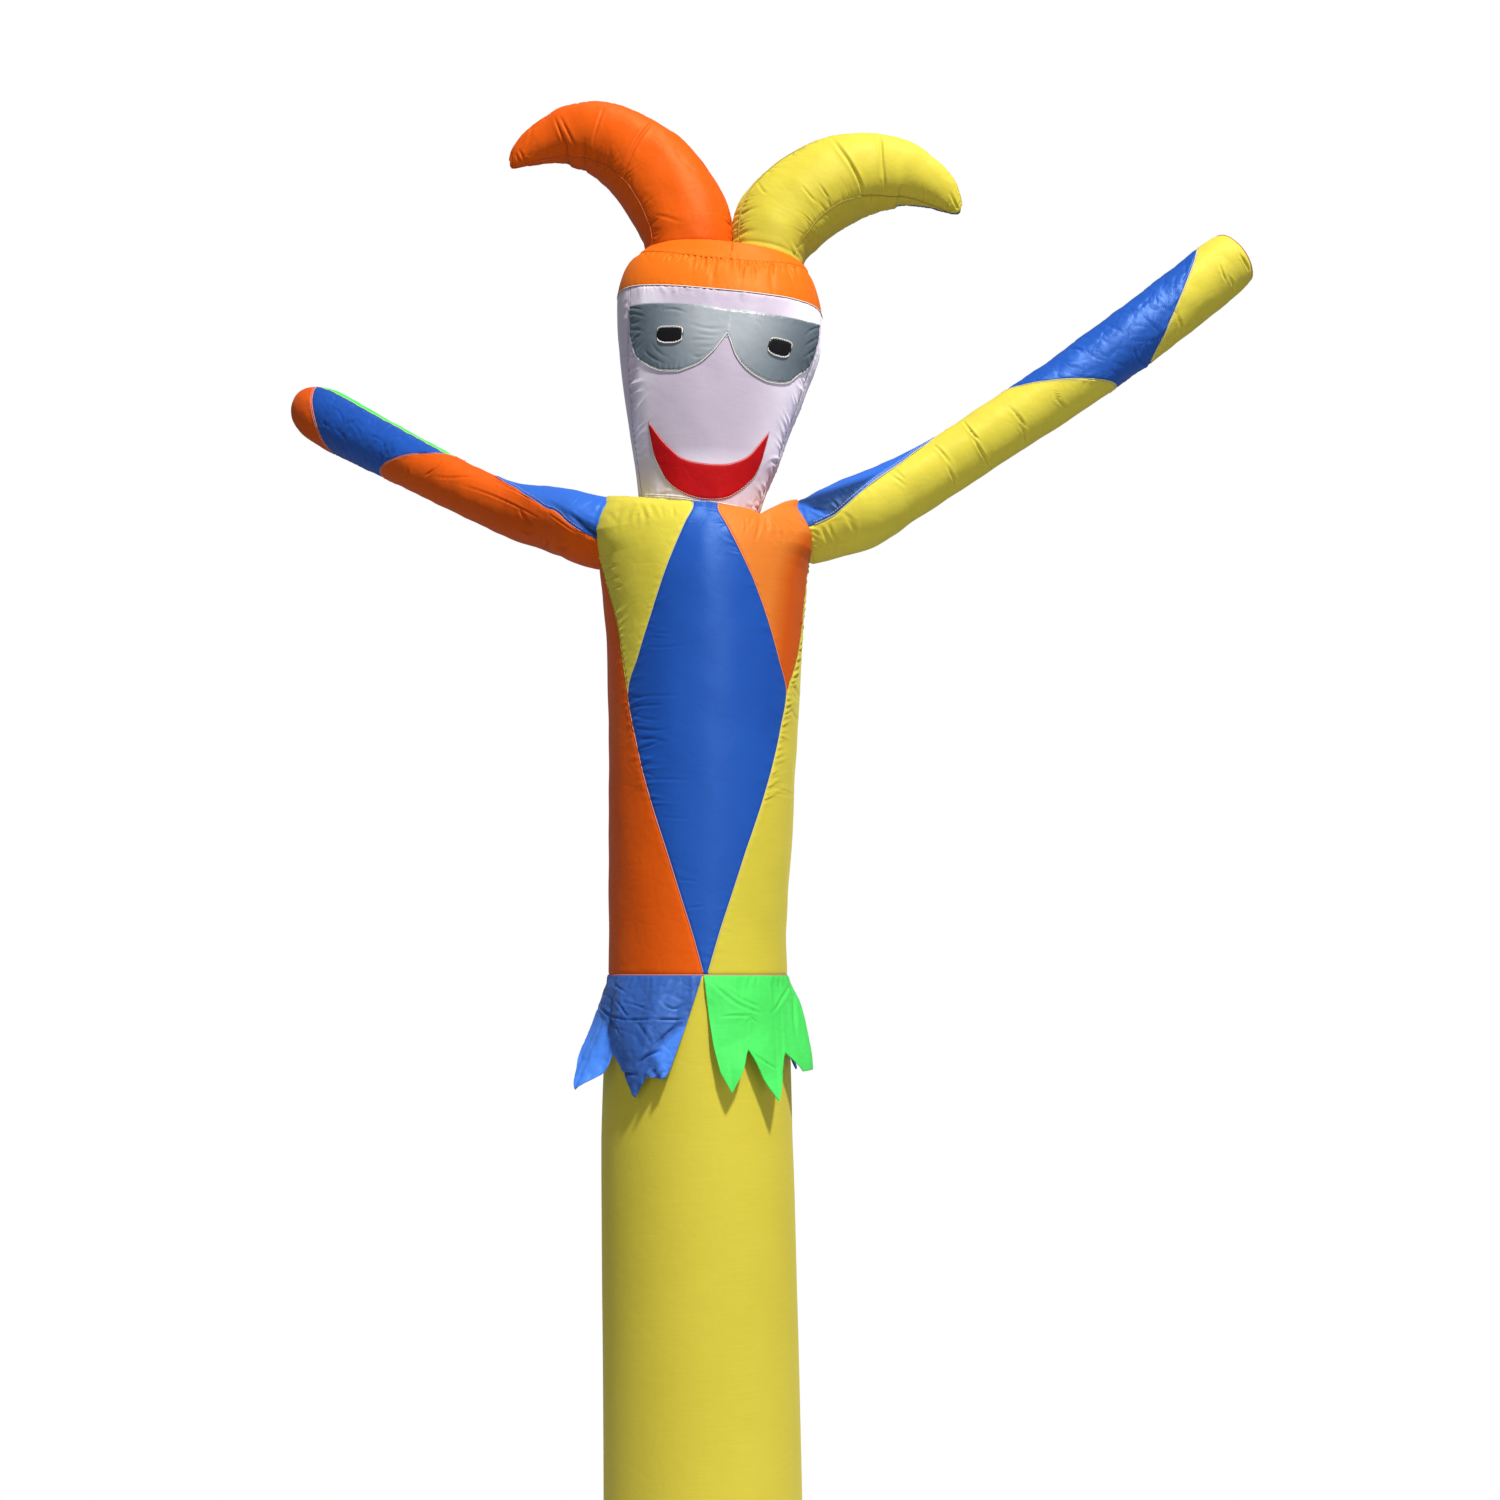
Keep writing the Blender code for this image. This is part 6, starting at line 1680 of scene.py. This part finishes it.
FLAP_BACK = [  # the same
    (0.5, 2, 1.45, 0.01), (9, 9.5, 1.408, 0.015), (18, 19, 1.376, 0.024), (27, 27, 1.404, 0.022),
    (36, 35, 1.442, 0.014), (45, 44, 1.398, 0.022), (54, 54, 1.37, 0.028), (63, 62, 1.436, 0.016),
    (72, 69, 1.4, 0.018), (81, 75, 1.412, 0.01), (88.5, 79, 1.44, 0.006),
]
FLAP_BLUE_CREASES = [  # x0, z0, x1, z1, x2, z2, width, depth
    (-156, 1500, -144, 1491, -123, 1484, 3, 2.2), (-123, 1484, -99, 1484, -78, 1485, 3, 2.4),
    (-78, 1485, -51, 1484, -32, 1485, 3, 2.2), (-156, 1498, -144, 1485, -133, 1465, 3, 2.2),
    (-134, 1512, -127, 1500, -118, 1488, 3, 1.8), (-137, 1535, -128, 1529, -120, 1523, 3, 1.4),
    (-102, 1479, -90, 1462, -81, 1447, 4, 2), (-78, 1444, -60, 1462, -39, 1479, 4, 2.4),
    (-100, 1421, -86, 1432, -69, 1438, 4, 3), (-128, 1403, -116, 1406, -101, 1403, 4, 3),
    (-69, 1512, -51, 1500, -33, 1506, 3, 1.6), (-120, 1509, -99, 1503, -78, 1494, 3, 1.6),
]
FLAP_GREEN_CREASES = [
    (8, 1538, 44, 1509, 80, 1494, 4, 1.6), (20, 1488, 47, 1490, 74, 1488, 3, 1.6),
    (38, 1523, 56, 1512, 77, 1504, 4, 1.4), (122, 1535, 116, 1520, 98, 1494, 4, 1.6),
    (131, 1520, 131, 1491, 133, 1456, 5, 2), (68, 1435, 83, 1424, 112, 1409, 3, 1.8),
    (62, 1482, 68, 1485, 75, 1479, 3, 1.4), (118, 1435, 117, 1415, 112, 1403, 4, 1.4),
]


# %% Flaps
def leg_at(z):
    """Centre x and radius of the leg at a height."""
    near = np.maximum((z - 1.2) / 0.35, 0.0)
    return -0.0178 * np.minimum(z / 1.3, 1.0) ** 2, 0.15 - 0.0084 * near ** 2


def flap(node, cloth, table, lines, seed, turn=0.0, flip=1.0, curl=0.0, belly=0.0,
         full_at=(0, 1), crush=0.0006, rise=1.4, between=10, rows=84):
    """belly is how far the cloth swells half way down, between two columns of the table;
    rise is how late it leaves the leg."""
    knots = np.arange(len(table))
    c = np.linspace(0, len(table) - 1, (len(table) - 1) * between + 1)
    top, end, end_z = (np.interp(c, knots, [r[k] for r in table])[None, :] for k in range(3))
    off = value(list(zip(knots, [r[3] for r in table])), c)[None, :]
    f = np.linspace(0.0, 1.0, rows)[:, None]
    a = np.radians(turn + flip * (top + (end - top) * f))
    z = FLAP_TOP + (end_z - FLAP_TOP) * f
    cx, r = leg_at(z)
    full = (belly * unit((c[None, :] - full_at[0]) / 1.8)
            * unit((full_at[1] - c[None, :]) / 1.8) * np.sin(np.pi * f ** 1.1))
    rad = r + 0.0012 + 0.0028 * np.minimum(1.0, 4 * f) + off * f ** rise + full
    p = np.stack([cx + rad * np.sin(a), -rad * np.cos(a), z], -1)
    n = np.cross(np.gradient(p, axis=1), np.gradient(p, axis=0))
    n /= np.maximum(np.linalg.norm(n, axis=2), 1e-12)[:, :, None]
    out = np.stack([np.sin(a), -np.cos(a), 0 * a], -1)
    n *= np.sign(np.sum(n * out, axis=2))[:, :, None]
    loose = np.minimum(1.0, f / 0.12)
    h = loose * (0.0018 * waves(p, 0.075, seed) + crush * crumpled(p, 0.045, seed + 1))
    h += loose * creases(p, n[..., 1] < 0.1, lines)
    run = run_length(p[0], 0)
    h += gathers(np.broadcast_to(run[None, :], f.shape[:1] + run.shape), 0 * a + 0.15 * f, 0.0,
                 run[-1], 0.014, 0.05, 0.0018, 0.0, np.random.default_rng(seed))
    # however creased, it stays off the leg
    h = np.maximum(h, -0.0014 - 0.6 * (off * f ** rise + full))
    if curl:
        roll = unit((f - 0.9) / 0.1) * np.exp(-((c[None, :] - 9.2) / 1.7) ** 2)
        h += curl * roll * (0.8 + 0.9 * waves(p, 0.014, seed + 5))
    h[0] = 0.0
    v = run_length(p, 0)
    ob = close_sheet("cloth_" + node, p, n, h, np.stack([run[None, :] + 0 * v, v], -1),
                     CLOTH[cloth], thick=0.0008, step=2)
    declare(ob, node, p, cloth.split()[0])
    return ob


blue_flap = flap("skirt_front_left", "blue skirt", FLAP_BLUE, crisp(FLAP_BLUE_CREASES, 0.8, 1.5),
                 107, curl=0.01, crush=0.0016, rise=1.8, belly=0.015, full_at=(3.2, 9.4))
flap("skirt_front_right", "green", FLAP_GREEN, crisp(FLAP_GREEN_CREASES), 111, belly=0.008,
     full_at=(7.5, 14.0), crush=0.0004)
flap("skirt_back_left", "green", FLAP_BACK, (), 121, 180.0, 1.0, between=6, rows=40)
back_flap = flap("skirt_back_right", "blue skirt", FLAP_BACK, (), 131, 180.0, -1.0, between=6,
                 rows=40)
# painted light and shade: only the wing and the turned-up right corner of the blue flap take its lit
# colour, where they catch the light; the rest takes painted shade
paint_light_and_shade(blue_flap, lambda p, x, z: 1.0 - np.maximum(
    right_of(x, z, -0.1573, 1.4946, -0.1362, 1.4347),
    np.minimum(right_of(x, z, -0.0821, 1.4325, -0.0262, 1.4834),
               right_of(x, z, -0.0617, 1.406, -0.0821, 1.4325))))
# the back blue flap takes a fixed mix, six tenths of the way to the painted shade colour
paint_light_and_shade(back_flap, lambda p, x, z: 0.6 + 0 * x)
print("flaps done")

# %% [markdown]
# ## Seams and stitches
# Where two panels meet, the turned-in edges and the thread show as a thin pale line in
# the groove. Beside the arm seams and round each piece of the face runs a row of small
# stitches. Both follow a path and repeat, so Geometry Nodes make them: one tree sweeps
# a thin thread along a path, the other sets a small stitch at even steps along it. The
# paths are laid on the finished sheets, so thread and stitches follow every pucker.

# %% Trees for threads and stitches
thread_nodes, size = tree("seam thread", {"Thickness": 0.0015, "Sides": 5, "Thread": None})
to_curve = thread_nodes.add("MeshToCurve", {"Mesh": size["Geometry"]})
cross_cut = thread_nodes.add("CurvePrimitiveCircle", {
    "Resolution": size["Sides"], "Radius": size["Thickness"] * 0.5})
sweep = thread_nodes.add("CurveToMesh", {
    "Fill Caps": True, "Curve": to_curve.outputs[0], "Profile Curve": cross_cut.outputs[0]})
end_tree(thread_nodes, sweep.outputs[0], size["Thread"])

stitch_nodes, size = tree("stitch row", {
    "Pitch": 0.0044, "Stitch Length": 0.0034, "Thickness": 0.0011, "Wobble": 0.1, "Seed": 3,
    "Thread": None})
to_curve = stitch_nodes.add("MeshToCurve", {"Mesh": size["Geometry"]})
points = stitch_nodes.add("CurveToPoints", {
    "Curve": to_curve.outputs[0], "Length": size["Pitch"]}, mode="LENGTH")
bead = stitch_nodes.add("MeshUVSphere", {"Segments": 5, "Rings": 3, "Radius": 0.5})
shape = stitch_nodes.add("ShaderNodeCombineXYZ", {
    "X": size["Thickness"], "Y": size["Thickness"], "Z": size["Stitch Length"]})
chance = stitch_nodes.add("FunctionNodeRandomValue", {
    "Seed": size["Seed"], 0: size["Wobble"] * -1.0, 1: size["Wobble"]},
    data_type="FLOAT_VECTOR")
sew = stitch_nodes.add("InstanceOnPoints", {
    "Points": points.outputs["Points"], "Instance": bead.outputs["Mesh"],
    "Rotation": points.outputs["Rotation"], "Scale": shape.outputs[0]})
tilt = stitch_nodes.add("RotateInstances", {
    "Instances": sew.outputs["Instances"], "Rotation": chance.outputs[0]})
end_tree(stitch_nodes, tilt.outputs[0], size["Thread"])


# %% Thread colours
def thread_finish(name, colour):
    """Twisted polyester thread: dull, with a fine ripple along it."""
    m = plain_material(name + " thread", colour, 0.6)
    yarn = Nodes(m.node_tree)
    place = yarn.add("TexCoord")
    twist = yarn.add("TexNoise", {"Scale": 900.0, "Vector": place.outputs["Object"]})
    shade = yarn.add("Mix", {0: twist.outputs["Fac"], 7: (*colour, 1.0),
                                       6: (*[c * 0.82 for c in colour], 1.0)}, data_type="RGBA")
    bump = yarn.add("Bump", {"Distance": 0.0002, "Strength": 0.4,
                                       "Height": twist.outputs["Fac"]})
    yarn.fill(m.node_tree.nodes["Principled BSDF"], {"Base Color": shade.outputs[2],
                                                     "Normal": bump.outputs["Normal"]})
    return m


THREADS = {name: thread_finish(name, colour) for name, colour in {
    "pale": (0.7, 0.64, 0.5), "rust": (0.72, 0.26, 0.22), "olive": (0.62, 0.58, 0.3),
    "lilac": (0.52, 0.44, 0.56), "white": (0.8, 0.78, 0.76), "orange": (0.62, 0.11, 0.01),
    "ochre": (0.45, 0.36, 0.04)}.items()}
print("threads:", list(THREADS))

# %% Paths on the sheets
ON_SEAM, BESIDE_SEAM = 0.0007, 0.0003      # how high thread and stitches lie on the cloth
paths = {}             # (kind, thread) -> list of point rows


def lay(kind, thread, node, t, theta, above):
    """Adds a path that runs on a sheet at a small height."""
    p, n, h = PANELS[node].surface(t, theta)
    paths.setdefault((kind, thread), []).append(p + n * (h + above)[..., None] + FOOT)


def up_seam(node, thread, rule, t0, t1, off=0.0, stitches=None, count=260):
    """A seam that runs up a panel at the angle rule(t), and its stitches beside it."""
    t = np.linspace(t0, t1, count)
    lay("seam", thread, node, t, rule(t), ON_SEAM)
    if stitches:
        _, _, _, per_a = look_at(PANELS[node].skin, t, rule(t))
        lay("stitch", stitches, node, t, rule(t) + off / per_a, BESIDE_SEAM)


def round_seam(node, thread, at, a, b, off=0.0, stitches=None, count=260):
    """A seam that runs round a panel at the height at(theta), and its stitches."""
    theta = np.linspace(a, b, count)
    t = at(theta)
    lay("seam", thread, node, t, theta, ON_SEAM)
    if stitches:
        _, _, per_t, _ = look_at(PANELS[node].skin, t, theta)
        lay("stitch", stitches, node, t + off / per_t, theta, BESIDE_SEAM)


def around_piece(node, table, thread, inside, corner=None, edged=None, part=602):
    """Stitches just inside the outline of a piece sewn on the face, and the pale edging
    along the first part of its outline."""
    low, high = rim(table, 1, corner), rim(table, 2)
    a, b = table[0][0] + 0.6, table[-1][0] - 0.6
    there = np.linspace(a, b, 300)
    th = np.concatenate([there, [b], np.linspace(b, a, 300), [a]])
    lower = np.arange(len(th)) < len(there)
    t = np.where(lower, low(th) + inside, high(th) - inside)
    t[-1] = t[0]
    lay("stitch", thread, node, t, th, BESIDE_SEAM)
    if edged:
        rim_t = np.where(lower, low(th) - 0.0004, high(th) + 0.0004)
        lay(edged, thread, node, rim_t[:part], th[:part], 0.0004)


def round_leg(kind, thread, z, out, count):
    """A path round the leg at one height."""
    turn = np.linspace(0.0, 2 * np.pi, count)
    cx, r = leg_at(np.full(count, z))
    paths.setdefault((kind, thread), []).append(np.stack([
        cx + (r + out) * np.sin(turn), -(r + out) * np.cos(turn), np.full(count, z)], -1) + FOOT)


# %% Seams of the torso, the head and the horns
for node, a, b, low, high in (("torso_front_diamond", D_LEFT, D_RIGHT, "rust", "olive"),
                              ("torso_back_diamond", B_RIGHT, BACK_WAY, "olive", "rust")):
    up_seam(node, low, a, WAIST + 0.004, VERTEX_T)
    up_seam(node, high, a, VERTEX_T, NECK - 0.002)
    up_seam(node, high, b, WAIST + 0.004, VERTEX_T)
    up_seam(node, low, b, VERTEX_T, NECK - 0.002)
for side, rules in (("left", (S_LEFT, BS_LEFT)), ("right", (S_RIGHT, BS_RIGHT))):
    for rule in rules:
        up_seam("torso_side_" + side, "ochre", rule, VERTEX_T, 2.22)
for node, rules in (("head_face", (f_left, f_right)), ("head_back", FACE_BACK)):
    for rule in rules:
        up_seam(node, "lilac", rule, HEAD_LOW + 0.002, BROW - 0.001)
for node, a, b in (("cap_band_front", -90.0, 90.0), ("cap_band_back", 90.0, 270.0)):
    round_seam(node, "white", level(BROW + 0.0001), a, b)
for side, skin, sign, thread in (("left", HORN_L, 1, "orange"), ("right", HORN_R, -1, "ochre")):
    for table, s in ((HORN_OUTER[side], sign), (HORN_INNER, -sign)):
        up_seam(f"horn_{side}_front", thread, (lambda t, r=straight(table), s=s: s * r(t)), 0.03,
                skin.length * 0.985)

# %% Seams of the arms
for side, thread, stitches in (("left", "rust", "lilac"), ("right", "olive", "pale")):
    skin, top, wedge, *seams = ARMS[side]
    half = straight(wedge)
    for sign in (-1, 1):
        up_seam(f"arm_{side}_shoulder", thread, (lambda t, s=sign: top + s * half(t)), 0.05, 0.335,
                -0.005 * sign, stitches)
    for part, pair, a, b, off in (("upper", seams[0], top + 1.0, top + 359.0, -0.005),
                                  ("end", seams[1], top, top + 360.0, 0.005)):
        round_seam(f"arm_{side}_{part}", thread, (lambda th, p=pair: slant(p, th - top)), a, b,
                   off, stitches)
near, far = ARMS["left"][3:]
for a in (SPLIT_A, SPLIT_B):
    t = np.linspace(slant(near, a), slant(far, a), 160)
    lay("seam", "olive", "arm_left_forearm_front", t, 90.0 + a + 0 * t, ON_SEAM)
rim_turn = np.linspace(0.0, 360.0, 120)
lay("seam", "rust", "arm_right_end", END_R + 0 * rim_turn, -90.0 + rim_turn, 0.0004)

# %% Outlines of the face pieces, and rings
around_piece("face_mask", MASK_ROWS, "white", 0.0016, NOTCH, "edging", 300)
around_piece("face_mouth", MOUTH_ROWS, "white", 0.0013)
for eye, table in EYES.items():
    around_piece(eye, table, "white", 0.0011, edged="seam")
# the hem at the foot of the face shows as a bright fold
chin = np.linspace(-60.0, 62.0, 260)
for up in (0.0035, 0.006):
    lay("edging", "white", "head_face", HEAD_LOW + up + 0 * chin, chin, 0.0002)
round_leg("seam", "rust", WAIST, 0.0004, 200)
round_leg("stitch", "ochre", 0.041, 0.0006, 400)
print("paths:", {" ".join(k): len(v) for k, v in paths.items()})

# %% Sew
for (kind, thread), rows in sorted(paths.items()):
    verts, edges = [], []
    for row in rows:
        base = len(verts)
        verts += [tuple(q) for q in row]
        edges += [(base + i, base + i + 1) for i in range(len(row) - 1)]
    me = bpy.data.meshes.new("path")
    me.from_pydata(verts, edges, [])
    values = {"Thread": THREADS[thread]}
    if kind == "edging":
        values["Thickness"] = 0.0013
    nodes = stitch_nodes if kind == "stitch" else thread_nodes
    ob = bake(run_tree("path", nodes, me, values), f"{kind}_{thread}")
    for f in ob.data.polygons:
        f.use_smooth = True
    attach(ob, "root")
    print(ob.name, len(ob.data.polygons), "faces")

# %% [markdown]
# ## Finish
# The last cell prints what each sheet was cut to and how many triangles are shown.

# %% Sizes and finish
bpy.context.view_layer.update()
total = sum(len(o.data.loop_triangles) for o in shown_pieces() if o.type == "MESH"
            and not o.data.calc_loop_triangles())
print("cut sizes:", json.dumps(CUTS))
print("triangles shown:", total)
